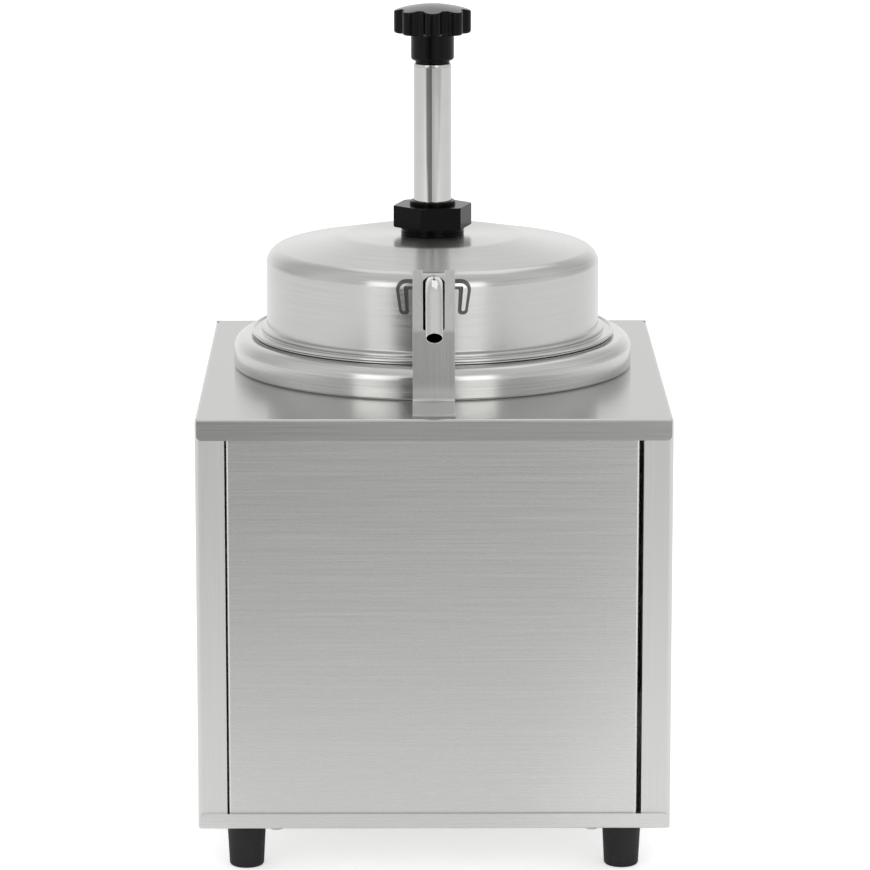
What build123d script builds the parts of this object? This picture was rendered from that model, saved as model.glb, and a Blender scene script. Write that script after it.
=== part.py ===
"""Hot fudge topping warmer: a sheet-steel cabinet with a heated water bath, a lift-out crock
and a lid that carries a hand pump with its own spout.

Frame: X to the right seen from the front, Y towards the back, Z up from the surface that the
feet stand on, with the origin under the middle of the cabinet. Millimetres throughout.
Heights named "..._rise" are counted up from the cabinet's top sheet, and heights named "..._lift"
from the upper face of its base tray.
"""

import math
import os

from build123d import *

# ---------------------------------------------------------------- driving dimensions
# Clearances
running_gap = 0.05  # radial play of a shaft, sleeve or seal that slides or turns in its bore
thread_gap = 0.1  # radial play between a screw or shank and the nut on it
seat_gap = 0.3  # between pieces that lift apart or move against each other
screw_gap = 0.25  # radial play of a screw in a plain hole

# Cabinet
body_width = 235.0
body_depth = 273.0
body_height = 208.0
sheet = 1.5  # cabinet sheet
bend_radius = 2.5  # outside radius of the folds along the sides
edge_radius = 1.2  # outside radius of the folds above the aprons
apron_height = 10.6
apron_inset = 1.0  # the aprons end this far inside the sides
column_width = 14.5  # return fold beside the front and rear panels
foot_flange_width = 32.0  # bottom fold of each side, clamped by the feet
base_flange_height = 7.7
corner_radius = 2.5  # rounded corners of aprons and base flange

# Front and rear panels
panel_side_gap = 1.5
panel_top_gap = 1.5
panel_depth = 16.0  # how far the folds of a panel reach inwards
vent_count = 7
vent_length = 46.0
vent_width = 3.0
vent_pitch = 7.0
vent_spread = 0.65  # middle of each column of slots, as a part of a slot's length
vent_rise = -62.0  # middle of the rear vents
base_vent_count = 6
base_vent_length = 40.0
base_vent_pitch = 9.0
base_vent_spread = 0.6

# Feet
foot_height = 25.0
foot_top_radius = 9.85
foot_bottom_radius = 8.6
foot_inset = 23.3  # from the cabinet's faces to a foot's axis
foot_recess_radius = 5.4
foot_recess_depth = 11.0
foot_edge_radius = 1.5

# Fasteners
screw_point = 1.5  # how far a screw or rod stands out beyond its nut
foot_screw_radius = 2.5
foot_screw_head_radius = 4.6
foot_screw_head_height = 3.2
foot_nut_flats = 8.0
foot_nut_height = 4.0
base_screw_radius = 2.0
base_screw_head_radius = 3.7
base_screw_head_height = 2.6
base_nut_flats = 7.0
base_nut_height = 3.2
base_screw_spread = 78.5  # from the middle to each base screw
base_screw_inset = 10.0  # from the front or rear face

# Water bath, with its raised collar that stands on the top sheet
bath_radius = 88.0  # inside
bath_wall = 1.2
bath_lift = 41.5  # inside of its floor
bath_corner_radius = 12.0
collar_width = 15.0  # from the bath's inside to the collar's outside
collar_rise = 16.2
collar_shoulder_radius = 6.5
collar_throat_radius = 3.0
bath_hole_gap = 3.0  # between the bath's wall and the hole in the top sheet
rear_room = 34.8  # from the bath's wall to the cabinet's rear face

# Heater under the bath
heater_plate_inset = 4.0  # from the flat part of the bath's floor
heater_plate_thickness = 5.0
heater_stud_radius = 4.0
heater_stud_length = 24.0
element_inset = 18.0  # from the plate's edge to the middle of the element
element_tube_radius = 4.2
element_bend_radius = 12.0
element_leg_length = 8.0
element_sweep = 300.0  # degrees of the element's ring
clamp_plate_inset = 8.0  # from the heater plate's edge
clamp_plate_thickness = 2.0
clamp_nut_flats = 13.0
clamp_nut_height = 5.5

# Crock
crock_side_gap = 4.0  # water between bath and crock
crock_floor_gap = 25.0  # from the bath's floor to the underside of the crock
crock_wall = 0.8
crock_corner_radius = 10.0
crock_throat_radius = 2.0
crock_rim_width = 9.0

# Lid
lid_wall = 0.8
lid_overhang = 1.0  # of its flange beyond the crock's rim
lid_flange_width = 8.0
lid_hem_width = 1.8
lid_hem_height = 1.5
lid_step_width = 2.6
lid_step_height = 2.2
lid_shoulder_rise = 60.3  # where the upright wall's line meets the sloping top
lid_shoulder_radius = 8.0
lid_slope_radius = 20.0  # rounding between slope and flat
lid_flat_radius = 46.0
lid_centre_rise = 68.0  # the flat middle of its top
ear_half_width = 18.5
ear_top_rise = 57.9
ear_bottom_rise = 41.2
ear_bar_width = 3.3
ear_leg_top_width = 5.4
ear_leg_bottom_width = 3.2
ear_leg_slant = 2.2
ear_corner_radius = 5.0
ear_end_radius = 1.4
ear_inner_radius = 1.0
ear_bar_radius = 0.4
ear_height = 1.6  # how far the ears stand proud of the lid

# Pump head
sleeve_radius = 9.7
sleeve_wall = 1.5
bush_radius = 11.8
bush_lip = 2.2  # above the nut
bush_drop = 13.0  # from the top of the lid to its lower end
bush_edge_radius = 0.8
bush_flange_radius = 16.0
bush_flange_thickness = 4.0
washer_radius = 16.3
washer_thickness = 4.2
washer_groove = 0.8
washer_edge_radius = 0.6
nut_flats = 36.0
nut_height = 11.2
nut_chamfer = 0.5
nut_turn = 13.5  # degrees that the nut happens to be turned

# Pump cylinder, piston and spring
stroke = 60.0
cylinder_wall = 1.5
retainer_thickness = 2.0
retainer_slot_count = 4
retainer_slot_length = 6.0
retainer_slot_width = 3.0
spring_turns = 12
spring_wire_radius = 0.8
spring_radius = 9.5
spring_spare = 3.8  # left in the spring, with its turns closed, at the end of the stroke
piston_length = 18.0
piston_side_gap = 0.4
seal_height = 4.0
seal_groove_depth = 2.2
seal_edge = 3.0  # from the piston's ends to its seals
rod_radius = 4.0
rod_shoulder_radius = 5.0
rod_nut_flats = 10.0
rod_nut_height = 4.0
collar_flange_radius = 11.4
collar_height = 10.7
collar_socket_depth = 6.7

# Knob on the plunger
knob_radius = 19.8
knob_lobes = 8
knob_lobe_radius = 4.7
knob_valley_radius = 16.6
knob_valley_fillet = 1.5
knob_spare = 11.0  # between knob and bush at the end of the stroke
knob_neck_height = 1.6
knob_hub_height = 13.8
knob_head_height = 11.8  # of the lobes
knob_crown_height = 3.2
knob_hub_radius = 11.1
knob_neck_radius = 8.85
knob_edge_radius = 1.5
insert_radius = 6.4
insert_length = 15.0
sleeve_cap_thickness = 1.5
sleeve_cap_spigot = 5.0
sleeve_cap_edge = 0.5

# Valve block under the cylinder
block_floor_gap = 4.2  # from the crock's floor to the block's underside
block_height = 33.0
block_wall = 4.0
cylinder_seat_height = 25.0  # end of the cylinder above the block's underside
foot_ball_radius = 7.0
foot_ball_chamber = 9.0
foot_seat_height = 7.0
foot_inlet_radius = 5.0
discharge_ball_radius = 4.5
discharge_chamber = 5.3
discharge_seat_height = 17.0
discharge_pocket_radius = 3.5
discharge_pocket_depth = 9.0
discharge_lobe_radius = 9.5
ball_gap = 0.1  # a ball at rest above its seat
channel_radius = 2.5
channel_floor = 1.0  # below the channel in the pocket
channel_overlap = 2.0

# Discharge tube and spout
tube_radius = 4.3
tube_seam_angle = 20.0  # the seam lies beside the tube's mid plane
tube_wall = 0.5
riser_socket = 4.0  # how deep the riser sits in the valve block
riser_offset = 26.0  # riser axis in front of the pot axis
riser_bend_radius = 18.0
outlet_rise = 42.3
spout_reach = 160.0  # outlet centre in front of the pot axis
spout_run = 25.4  # straight end of the spout
spout_angle = 41.0  # degrees below level at the outlet
spout_slope = 22.0  # degrees that the run from the riser climbs towards the spout
spout_bend_radius = 18.0
riser_nut_flats = 14.0
riser_nut_height = 8.0
slot_width = 14.0  # opening in the lid that the spout leaves by
slot_bottom_rise = 31.0
slot_top_rise = 60.0

# Fork that keeps the spout from swinging
fork_width = 21.0
fork_sheet = 1.5
fork_gap = 6.5  # from the collar to the back of its upright
fork_margin = 4.0  # from the end of its foot to the cabinet's front edge
fork_bend_rise = 37.3
fork_top_rise = 66.6
fork_lean = 4.8
fork_slot_width = 10.8
fork_bend_radius = 3.0
fork_corner_radius = 1.0

# Controls on the rear panel
control_lift = 56.5  # height of the thermostat, switch and lamp
thermostat_x = -48.0
thermostat_size = 34.0
thermostat_depth = 20.0
thermostat_corner_radius = 3.0
thermostat_shaft_radius = 3.0
thermostat_shaft_flat = 0.6  # from the axis, as a part of the radius
thermostat_shaft_wall = 6.0  # of the case behind the shaft
thermostat_screw_spread = 14.0
thermostat_screw_radius = 1.5
thermostat_screw_reach = 5.0
thermostat_screw_head = 0.5
dial_radius = 19.0
dial_height = 14.7
dial_skirt_height = 3.0
dial_grip_radius = 13.5
dial_flute_count = 12
dial_flute_radius = 2.2
dial_edge = 1.2
dial_cap = 3.0  # solid end of the dial above its shaft
dial_boss_wall = 1.5
dial_hollow_radius = 6.5
dial_hollow_end = 6.0
dial_pointer_width = 1.6
dial_pointer_height = 0.6
dial_pointer_margin = 2.0
dial_screw_room = 1.5
dial_gap = 0.6
bulb_radius = 3.0
bulb_length = 60.0
bulb_height = 45.0  # of its lower end above the bath's floor
bulb_angle = 118.0  # round the bath from the right, degrees
capillary_radius = 0.9
capillary_bend_radius = 3.0
capillary_room = 8.0  # its level run above the thermostat
clip_sheet = 1.0
clip_height = 10.0
switch_x = 6.0
switch_width = 15.0
switch_height = 21.0
switch_bezel = 2.0
switch_body_depth = 16.0
switch_body_inset = 1.2
rocker_radius = 7.2
rocker_width = 9.6
rocker_tilt = 9.0  # degrees to each side of level
rocker_centre_height = 2.6
rocker_end_height = 4.4
rocker_depth = 2.6
rocker_pin_radius = 1.2
rocker_pin_length = 1.2
switch_corner_radius = 1.5
lamp_x = 40.0
lamp_radius = 5.0
lamp_bezel_radius = 6.5
lamp_bezel = 2.0
lamp_body_depth = 18.0
lamp_rim = 0.8
lens_seat_depth = 2.0
lens_length = 5.0
lens_edge_radius = 1.6
gland_side_inset = 55.5
gland_lift = 24.5
gland_radius = 7.9
gland_bore_radius = 4.1
gland_flats = 19.0
gland_flange = 5.0
gland_dome_radius = 8.6
gland_dome_length = 8.5
gland_edge_radius = 2.5
gland_nut_height = 4.0
gland_thread_length = 8.0
terminal_x = 32.0
terminal_inset = 40.5  # from the cabinet's rear face
terminal_size = (44.0, 20.0, 16.0)
terminal_count = 4
terminal_well_floor = 4.0
terminal_screw_radius = 1.8
terminal_screw_sink = 2.0
earth_side_inset = 39.5
earth_rear_inset = 44.5
earth_stud_radius = 2.0
earth_stud_height = 14.0
earth_nut_lift = 1.0

# ---------------------------------------------------------------- places worked out from them
top_z = foot_height + body_height
floor_z = foot_height + sheet  # upper face of the base tray
half_width = body_width / 2
half_depth = body_depth / 2
gland_x = half_width - gland_side_inset
inner_face = half_depth - sheet  # outer faces of columns and panels, behind the aprons
foot_x = half_width - foot_inset
foot_y = half_depth - foot_inset
bath_outer = bath_radius + bath_wall
bath_floor = floor_z + bath_lift
bath_underside = bath_floor - bath_wall
pot_y = half_depth - rear_room - bath_outer  # axis of bath, crock, lid and pump
collar_radius = bath_radius + collar_width
collar_top = top_z + collar_rise
heater_plate_radius = bath_radius - bath_corner_radius - heater_plate_inset
element_ring_radius = heater_plate_radius - element_inset
clamp_plate_radius = heater_plate_radius - clamp_plate_inset
heater_underside = bath_underside - heater_plate_thickness
clamp_top = heater_underside - 2 * element_tube_radius
crock_radius = bath_radius - crock_side_gap
crock_rim_radius = crock_radius + crock_rim_width
crock_bottom = bath_floor + crock_floor_gap
lid_flange_radius = crock_rim_radius + lid_overhang
lid_radius = lid_flange_radius - lid_flange_width  # outside of its upright wall
lid_seat = collar_top + seat_gap + crock_wall + seat_gap  # lowest edge of the lid
lid_top = top_z + lid_centre_rise
lid_underside = lid_top - lid_wall
washer_top = lid_top + washer_thickness
nut_top = washer_top + nut_height
bush_top = nut_top + bush_lip
bush_bottom = lid_top - bush_drop
block_bottom = crock_bottom + crock_wall + block_floor_gap
block_top = block_bottom + block_height
cylinder_radius = bush_radius + thread_gap  # bore of the pump cylinder
cylinder_outer = cylinder_radius + cylinder_wall
cylinder_top = lid_underside - bush_flange_thickness
cylinder_bottom = block_bottom + cylinder_seat_height
spring_length = stroke + spring_turns * 2 * spring_wire_radius + spring_spare
piston_bottom = cylinder_bottom + spring_length
piston_top = piston_bottom + piston_length
collar_z = bush_bottom - seat_gap - collar_height
sleeve_bottom = collar_z + collar_height - collar_socket_depth
knob_neck_z = bush_top + stroke + knob_spare
knob_hub_z = knob_neck_z + knob_neck_height
sleeve_top = knob_neck_z - sleeve_cap_thickness
rod_top = knob_hub_z + insert_length
riser_y = pot_y - riser_offset
riser_low = block_top - riser_socket
fork_radius = collar_radius + fork_gap
fork_foot_length = pot_y - fork_radius - (fork_margin - half_depth)
control_z = floor_z + control_lift
gland_z = floor_z + gland_lift
case_low = inner_face - sheet - thermostat_depth
terminal_y = half_depth - terminal_inset
earth_x = earth_side_inset - half_width
earth_y = half_depth - earth_rear_inset


# ---------------------------------------------------------------- shared operations
def turned(outline):
    """A closed outline of (radius, height) points or edges, turned about the pot axis."""
    return Pos(0, pot_y, 0) * revolve(Plane.XZ * outline, Axis.Z)


def polygon(*points):
    """A flat face through the given corners."""
    return make_face(Polyline(*points, close=True))


def spun_sheet(points, radii, wall, side):
    """A spun shell: a line of (radius, height) points with rounded corners, given its wall."""
    line = FilletPolyline(*points, radius=radii)
    return turned(make_face(offset(line, amount=wall, side=side, closed=True)))


def rod(radius, low, high, x=0.0, y=0.0):
    """An upright cylinder between two heights."""
    height = high - low
    return Pos(x, y, low) * Cylinder(radius, height, align=(Align.CENTER, Align.CENTER, Align.MIN))


def ring(outer, inner, low, high, x=0.0, y=0.0):
    """An upright tube or washer between two heights."""
    return rod(outer, low, high, x, y) - rod(inner, low - 1, high + 1, x, y)


def block(x_low, x_high, y_low, y_high, z_low, z_high):
    """A box between two opposite corners."""
    size = (x_high - x_low, y_high - y_low, z_high - z_low)
    return Pos(x_low, y_low, z_low) * Box(*size, align=(Align.MIN, Align.MIN, Align.MIN))


def lying_rod(radius, y_low, y_high, x, z):
    """A cylinder along Y between two depths."""
    length = y_high - y_low
    upright = Cylinder(radius, length, align=(Align.CENTER, Align.CENTER, Align.MIN))
    return Pos(x, y_low, z) * Rot(-90, 0, 0) * upright


def hex_nut(flats, height, bore, x, y, z, turn=0.0, chamfer_size=0.6):
    """A hexagon nut with its upper and lower corners turned off."""
    corner = flats / math.sqrt(3)
    plate = extrude(RegularPolygon(corner, 6), height)
    cone = Cylinder(corner, height, align=(Align.CENTER, Align.CENTER, Align.MIN))
    cone = chamfer(cone.edges().filter_by(GeomType.CIRCLE), chamfer_size)
    nut = (plate & cone) - rod(bore, -1, height + 1)
    return Pos(x, y, z) * Rot(0, 0, turn) * nut


def pan_screw(shank, head_radius, head_height, length, x, y, z):
    """A pan-head screw that points up, its head's seat at height z."""
    head = Cylinder(head_radius, head_height, align=(Align.CENTER, Align.CENTER, Align.MAX))
    head = fillet(head.edges().filter_by(GeomType.CIRCLE).sort_by(Axis.Z)[0], head_height * 0.45)
    return Pos(x, y, z) * (head + rod(shank, 0, length))


def four_corners(x, y):
    """The four places that mirror each other about both middle planes."""
    return [(-x, -y), (x, -y), (-x, y), (x, y)]


def slots(count, pitch, length, width, depth):
    """A column of slots along X, spaced along local Y and cut through the given depth."""
    row = Sketch() + [loc * SlotOverall(length, width) for loc in GridLocations(0, pitch, 1, count)]
    return extrude(row, depth / 2, both=True)


# ---------------------------------------------------------------- cabinet
def outer_wrapper():
    """Top, sides, return folds and aprons, folded from one sheet."""
    low = foot_height
    body = block(-half_width, half_width, -inner_face, inner_face, low, top_z)
    folds = body.edges().filter_by(Axis.Z) + body.edges().filter_by(Axis.Y).group_by(Axis.Z)[-1]
    body = fillet(folds, bend_radius)
    inside_x = half_width - sheet
    inside_y = inner_face - sheet
    inside = block(-inside_x, inside_x, -inside_y, inside_y, low - 1, top_z - sheet)
    folds = inside.edges().filter_by(Axis.Z) + inside.edges().filter_by(Axis.Y).group_by(Axis.Z)[-1]
    body -= fillet(folds, bend_radius - sheet)
    window = half_width - column_width
    body -= block(-window, window, -half_depth, half_depth, low - 1, top_z - sheet)
    # The columns stop on the base tray, which reaches under them.
    body -= block(-inside_x, inside_x, -half_depth, half_depth, low - 1, floor_z)
    for side in (-1, 1):
        outer = side * (inside_x + sheet / 2)
        inner = side * (half_width - foot_flange_width)
        flange_y = inside_y - seat_gap - panel_depth
        low_x, high_x = min(outer, inner), max(outer, inner)
        body += block(low_x, high_x, -flange_y, flange_y, floor_z, floor_z + sheet)
        apron_y = side * (half_depth - sheet / 2)
        body += apron(apron_y, top_z - apron_height, top_z)
    top_edges = body.edges().filter_by(Axis.X).group_by(Axis.Z)[-1]
    body = fillet([e for e in top_edges if abs(e.center().Y) > inner_face + sheet / 2], edge_radius)
    body -= rod(bath_outer + bath_hole_gap, top_z - 2 * sheet, top_z + 1, 0, pot_y)
    for x, y in four_corners(foot_x, foot_y):
        body -= rod(foot_screw_radius + screw_gap, low, floor_z + 2 * sheet, x, y)
    return body


def apron(y, low, high, rounded_low=True):
    """A fold across the cabinet's front or back, with its two free corners rounded."""
    reach = half_width - apron_inset
    strip = block(-reach, reach, y - sheet / 2, y + sheet / 2, low, high)
    corners = strip.edges().filter_by(Axis.Y).group_by(Axis.Z)[0 if rounded_low else -1]
    return fillet(corners, corner_radius)


def base_tray():
    """The floor of the cabinet, with an upturned fold at the front and the back."""
    reach = half_width - sheet - screw_gap
    tray = block(-reach, reach, -inner_face, inner_face, foot_height, floor_z)
    for side in (-1, 1):
        y = side * (half_depth - sheet / 2)
        tray += apron(y, foot_height, foot_height + base_flange_height, rounded_low=False)
    low_edges = tray.edges().filter_by(Axis.X).group_by(Axis.Z)[0]
    tray = fillet([e for e in low_edges if abs(e.center().Y) > inner_face + sheet / 2], edge_radius)
    for x, y in four_corners(foot_x, foot_y):
        tray -= rod(foot_screw_radius + screw_gap, foot_height - 1, floor_z + 1, x, y)
    for x, y in four_corners(base_screw_spread, half_depth - base_screw_inset):
        tray -= rod(base_screw_radius + screw_gap, foot_height - 1, floor_z + 1, x, y)
    for x in (-base_vent_length * base_vent_spread, base_vent_length * base_vent_spread):
        vents = slots(base_vent_count, base_vent_pitch, base_vent_length, vent_width, 4 * sheet)
        tray -= Pos(x, 0, foot_height) * vents
    return tray


def panel(side):
    """A shallow pan that closes the front (side -1) or the back (side 1), open inwards."""
    reach = half_width - column_width - panel_side_gap
    low, high = floor_z, top_z - sheet - panel_top_gap
    y_out, y_in = side * inner_face, side * (inner_face - panel_depth)
    pan = block(-reach, reach, min(y_out, y_in), max(y_out, y_in), low, high)
    face_edges = [e for e in pan.edges().filter_by(Axis.Z) if abs(e.center().Y) > inner_face - 1]
    pan = fillet(face_edges, edge_radius)
    back = side * (inner_face - panel_depth - 1)
    front = side * (inner_face - sheet)
    inside = reach - sheet
    pan -= block(-inside, inside, min(back, front), max(back, front), low + sheet, high - sheet)
    for x in (-base_screw_spread, base_screw_spread):
        y = side * (half_depth - base_screw_inset)
        pan -= rod(base_screw_radius + screw_gap, low - 1, low + sheet + 1, x, y)
    return pan


def rear_panel():
    """The rear pan, cut for the controls, the gland and the vents."""
    pan = panel(1)
    hole_low, hole_high = inner_face - 2 * sheet, inner_face + 1
    neck = thermostat_shaft_radius + 1.0
    pan -= lying_rod(neck, hole_low, hole_high, thermostat_x, control_z)
    for dx in (-thermostat_screw_spread, thermostat_screw_spread):
        hole = thermostat_screw_radius + screw_gap
        pan -= lying_rod(hole, hole_low, hole_high, thermostat_x + dx, control_z)
    width, height = switch_cutout()
    pan -= block(
        switch_x - width / 2, switch_x + width / 2, hole_low, hole_high,
        control_z - height / 2, control_z + height / 2,
    )
    pan -= lying_rod(lamp_radius + screw_gap, hole_low, hole_high, lamp_x, control_z)
    pan -= lying_rod(gland_radius + screw_gap, hole_low, hole_high, gland_x, gland_z)
    for x in (-vent_length * vent_spread, vent_length * vent_spread):
        vents = slots(vent_count, vent_pitch, vent_length, vent_width, 4 * sheet)
        pan -= Pos(x, inner_face, top_z + vent_rise) * Rot(90, 0, 0) * vents
    return pan


def switch_cutout():
    """Width and height of the switch's hole in the panel."""
    smaller = screw_gap - 2 * switch_body_inset
    return switch_width + smaller, switch_height + smaller


def feet():
    """Four tapered rubber feet, each recessed below for its screw."""
    foot = loft([
        Circle(foot_bottom_radius),
        Pos(0, 0, foot_height) * Circle(foot_top_radius),
    ])
    foot = fillet(foot.edges().filter_by(GeomType.CIRCLE).sort_by(Axis.Z)[0], foot_edge_radius)
    foot -= rod(foot_recess_radius, -1, foot_recess_depth)
    foot -= rod(foot_screw_radius + screw_gap, 0, foot_height + 1)
    return Compound([Pos(x, y, 0) * foot for x, y in four_corners(foot_x, foot_y)])


def foot_screws():
    """The screws that hold the feet, up through tray and side folds."""
    reach = foot_height - foot_recess_depth + 2 * sheet + foot_nut_height + screw_point
    sizes = (foot_screw_radius, foot_screw_head_radius, foot_screw_head_height, reach)
    return Compound([
        pan_screw(*sizes, x, y, foot_recess_depth) for x, y in four_corners(foot_x, foot_y)
    ])


def foot_nuts():
    """Nuts on the foot screws, inside the cabinet."""
    sizes = (foot_nut_flats, foot_nut_height, foot_screw_radius + thread_gap)
    return Compound([hex_nut(*sizes, x, y, floor_z + sheet) for x, y in four_corners(foot_x, foot_y)])


def base_screws():
    """Pan-head screws that hold the panels' lower folds to the tray."""
    reach = 2 * sheet + base_nut_height + screw_point
    sizes = (base_screw_radius, base_screw_head_radius, base_screw_head_height, reach)
    places = four_corners(base_screw_spread, half_depth - base_screw_inset)
    return Compound([pan_screw(*sizes, x, y, foot_height) for x, y in places])


def base_nuts():
    """Nuts on the base screws, on the panels' lower folds."""
    sizes = (base_nut_flats, base_nut_height, base_screw_radius + thread_gap)
    places = four_corners(base_screw_spread, half_depth - base_screw_inset)
    return Compound([hex_nut(*sizes, x, y, floor_z + sheet) for x, y in places])


# ---------------------------------------------------------------- bath and heater
def bath_collar():
    """Spun collar that stands on the top sheet outside and turns down to the bath inside."""
    points = [
        (collar_radius, top_z),
        (collar_radius, collar_top),
        (bath_radius, collar_top),
        (bath_radius, top_z),
    ]
    radii = [collar_shoulder_radius, collar_throat_radius]
    return spun_sheet(points, radii, bath_wall, Side.LEFT)


def water_bath():
    """Drawn bath, welded to the collar's inner edge at the level of the top sheet."""
    points = [(bath_radius, top_z), (bath_radius, bath_floor), (0, bath_floor)]
    return spun_sheet(points, [bath_corner_radius], bath_wall, Side.LEFT)


def heater_stud():
    """Stud welded under the bath, which pulls the heater up against it."""
    return rod(heater_stud_radius, bath_underside - heater_stud_length, bath_underside, 0, pot_y)


def heater_plate():
    """Aluminium plate that spreads the element's heat over the bath's floor."""
    bore = heater_stud_radius + screw_gap
    return ring(heater_plate_radius, bore, heater_underside, bath_underside, 0, pot_y)


def heating_element():
    """Sheathed element: one ring that ends in two legs bent down beside each other."""
    z = heater_underside - element_tube_radius
    start = 90 + (360 - element_sweep) / 2
    arc = CenterArc((0, pot_y, z), element_ring_radius, start, element_sweep)
    legs = [element_leg(arc @ 0, (arc % 0) * -1), element_leg(arc @ 1, arc % 1)]
    body = sweep(Plane(arc @ 0, z_dir=arc % 0) * Circle(element_tube_radius), arc)
    return body + legs[0] + legs[1]


def element_leg(place, direction):
    """A quarter bend from the element's ring into a short leg that points down."""
    down = Vector(0, 0, -1) * element_bend_radius
    forward = direction * element_bend_radius
    half_turn = math.sqrt(0.5)
    middle = place + forward * half_turn + down * (1 - half_turn)
    corner = place + forward + down
    end = corner - Vector(0, 0, element_leg_length)
    path = ThreePointArc(place, middle, corner) + Line(corner, end)
    return sweep(Plane(place, z_dir=direction) * Circle(element_tube_radius), path)


def clamp_plate():
    """Pressed steel plate that holds the element up, notched where the element's legs pass."""
    low = clamp_top - clamp_plate_thickness
    plate = ring(clamp_plate_radius, heater_stud_radius + screw_gap, low, clamp_top, 0, pot_y)
    half_gap = math.radians((360 - element_sweep) / 2)
    margin = element_tube_radius + screw_gap
    notch_x = element_ring_radius * math.sin(half_gap) + margin
    notch_y = pot_y + element_ring_radius * math.cos(half_gap) - margin
    edge_y = pot_y + clamp_plate_radius
    return plate - block(-notch_x, notch_x, notch_y, edge_y, low - 1, clamp_top + 1)


def clamp_nut():
    """Nut on the heater stud."""
    low = clamp_top - clamp_plate_thickness - clamp_nut_height
    return hex_nut(clamp_nut_flats, clamp_nut_height, heater_stud_radius + thread_gap, 0, pot_y, low)


# ---------------------------------------------------------------- crock and lid
def crock():
    """Lift-out crock, hung by its rim on the bath's collar."""
    rim_low = collar_top + seat_gap
    points = [
        (crock_rim_radius, rim_low),
        (crock_radius, rim_low),
        (crock_radius, crock_bottom),
        (0, crock_bottom),
    ]
    return spun_sheet(points, [crock_throat_radius, crock_corner_radius], crock_wall, Side.RIGHT)


def lid_points(grow):
    """The lid's outer line from its upright wall to the middle of its top, grown outwards."""
    return [
        (lid_radius + grow, lid_seat + lid_wall),
        (lid_radius + grow, top_z + lid_shoulder_rise + grow),
        (lid_flat_radius, lid_top + grow),
        (0, lid_top + grow),
    ]


def lid_dome():
    """Spun lid: hemmed flange, a step, an upright wall, and a top that slopes up to a flat."""
    flange_top = lid_seat + lid_wall
    outer = FilletPolyline(
        (lid_flange_radius - lid_hem_width / 2, flange_top), *lid_points(0),
        radius=[lid_wall * 1.2, lid_shoulder_radius, lid_slope_radius],
    )
    dome = turned(make_face(offset(outer, amount=lid_wall, side=Side.LEFT, closed=True)))
    hem_low = lid_flange_radius - lid_hem_width
    hem = ring(lid_flange_radius, hem_low, lid_seat, lid_seat + lid_hem_height, 0, pot_y)
    hem = fillet(hem.edges().filter_by(GeomType.CIRCLE).group_by(Axis.Z)[-1], lid_hem_width * 0.4)
    step = polygon(
        (lid_radius - lid_wall / 2, flange_top - lid_wall / 2),
        (lid_radius + lid_step_width, flange_top - lid_wall / 2),
        (lid_radius + lid_step_width, flange_top + lid_step_height),
        (lid_radius - lid_wall / 2, flange_top + lid_step_height + lid_wall),
    )
    dome = dome + hem + turned(step)
    dome -= rod(bush_radius + screw_gap, top_z, lid_top + 1, 0, pot_y)
    return dome - spout_slot()


def spout_slot():
    """The upright opening in the lid's front that the spout leaves by."""
    height = slot_top_rise - slot_bottom_rise
    outline = Plane.XZ * Pos(0, top_z + slot_bottom_rise + height / 2) * Rot(0, 0, 90)
    cut = extrude(outline * SlotOverall(height, slot_width), lid_radius)
    return Pos(0, pot_y - lid_radius / 2, 0) * cut


def lid_body(grow):
    """Everything inside the lid's outer line, grown outwards."""
    radii = [lid_shoulder_radius + grow, lid_slope_radius]
    line = FilletPolyline(*lid_points(grow), radius=radii)
    middle = (0, lid_seat + lid_wall)
    return turned(make_face(line + Line(line @ 1, middle) + Line(middle, line @ 0)))


def spout_ears():
    """Two raised hooked ears welded to the lid, one each side of the spout."""
    top = top_z + ear_top_rise
    bottom = top_z + ear_bottom_rise
    bar_low = top - ear_bar_width
    inner_x = slot_width / 2 + screw_gap
    leg_inner = ear_half_width - ear_leg_top_width
    foot_outer = ear_half_width - ear_leg_slant
    foot_inner = foot_outer - ear_leg_bottom_width
    hook = make_face(FilletPolyline(
        (inner_x, top), (ear_half_width, top), (foot_outer, bottom), (foot_inner, bottom),
        (leg_inner, bar_low), (inner_x, bar_low),
        radius=[ear_bar_radius, ear_corner_radius, ear_end_radius, ear_end_radius, ear_inner_radius,
                ear_bar_radius],
        close=True,
    ))
    prism = extrude(Plane.XZ * hook, lid_radius + 2 * ear_height)
    right = (lid_body(ear_height) - lid_body(0)) & (Pos(0, pot_y, 0) * prism)
    return Compound([right.solid(), mirror(right, Plane.YZ).solid()])


# ---------------------------------------------------------------- pump head
def pump_bush():
    """Threaded guide bush: its flange lies under the lid, its lip shows above the nut."""
    bore = sleeve_radius + running_gap
    bush = ring(bush_radius, bore, bush_bottom, bush_top, 0, pot_y)
    rims = bush.edges().filter_by(GeomType.CIRCLE).group_by(Axis.Z)[-1]
    bush = fillet(rims.sort_by(SortBy.RADIUS)[-1], bush_edge_radius)
    return bush + ring(bush_flange_radius, bore, cylinder_top, lid_underside, 0, pot_y)


def lid_washer():
    """Thick black washer between nut and lid, with a groove round its edge."""
    middle = (lid_top + washer_top) / 2
    washer = ring(washer_radius, bush_radius + thread_gap, lid_top, washer_top, 0, pot_y)
    rims = [e for e in washer.edges().filter_by(GeomType.CIRCLE) if e.radius > bush_radius + 1]
    washer = fillet(rims, washer_edge_radius)
    low, high = middle - washer_groove / 2, middle + washer_groove / 2
    return washer - ring(washer_radius + 1, washer_radius - washer_groove, low, high, 0, pot_y)


def pump_nut():
    """The large black nut that clamps the pump to the lid."""
    bore = bush_radius + thread_gap
    return hex_nut(nut_flats, nut_height, bore, 0, pot_y, washer_top, nut_turn, nut_chamfer)


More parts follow.
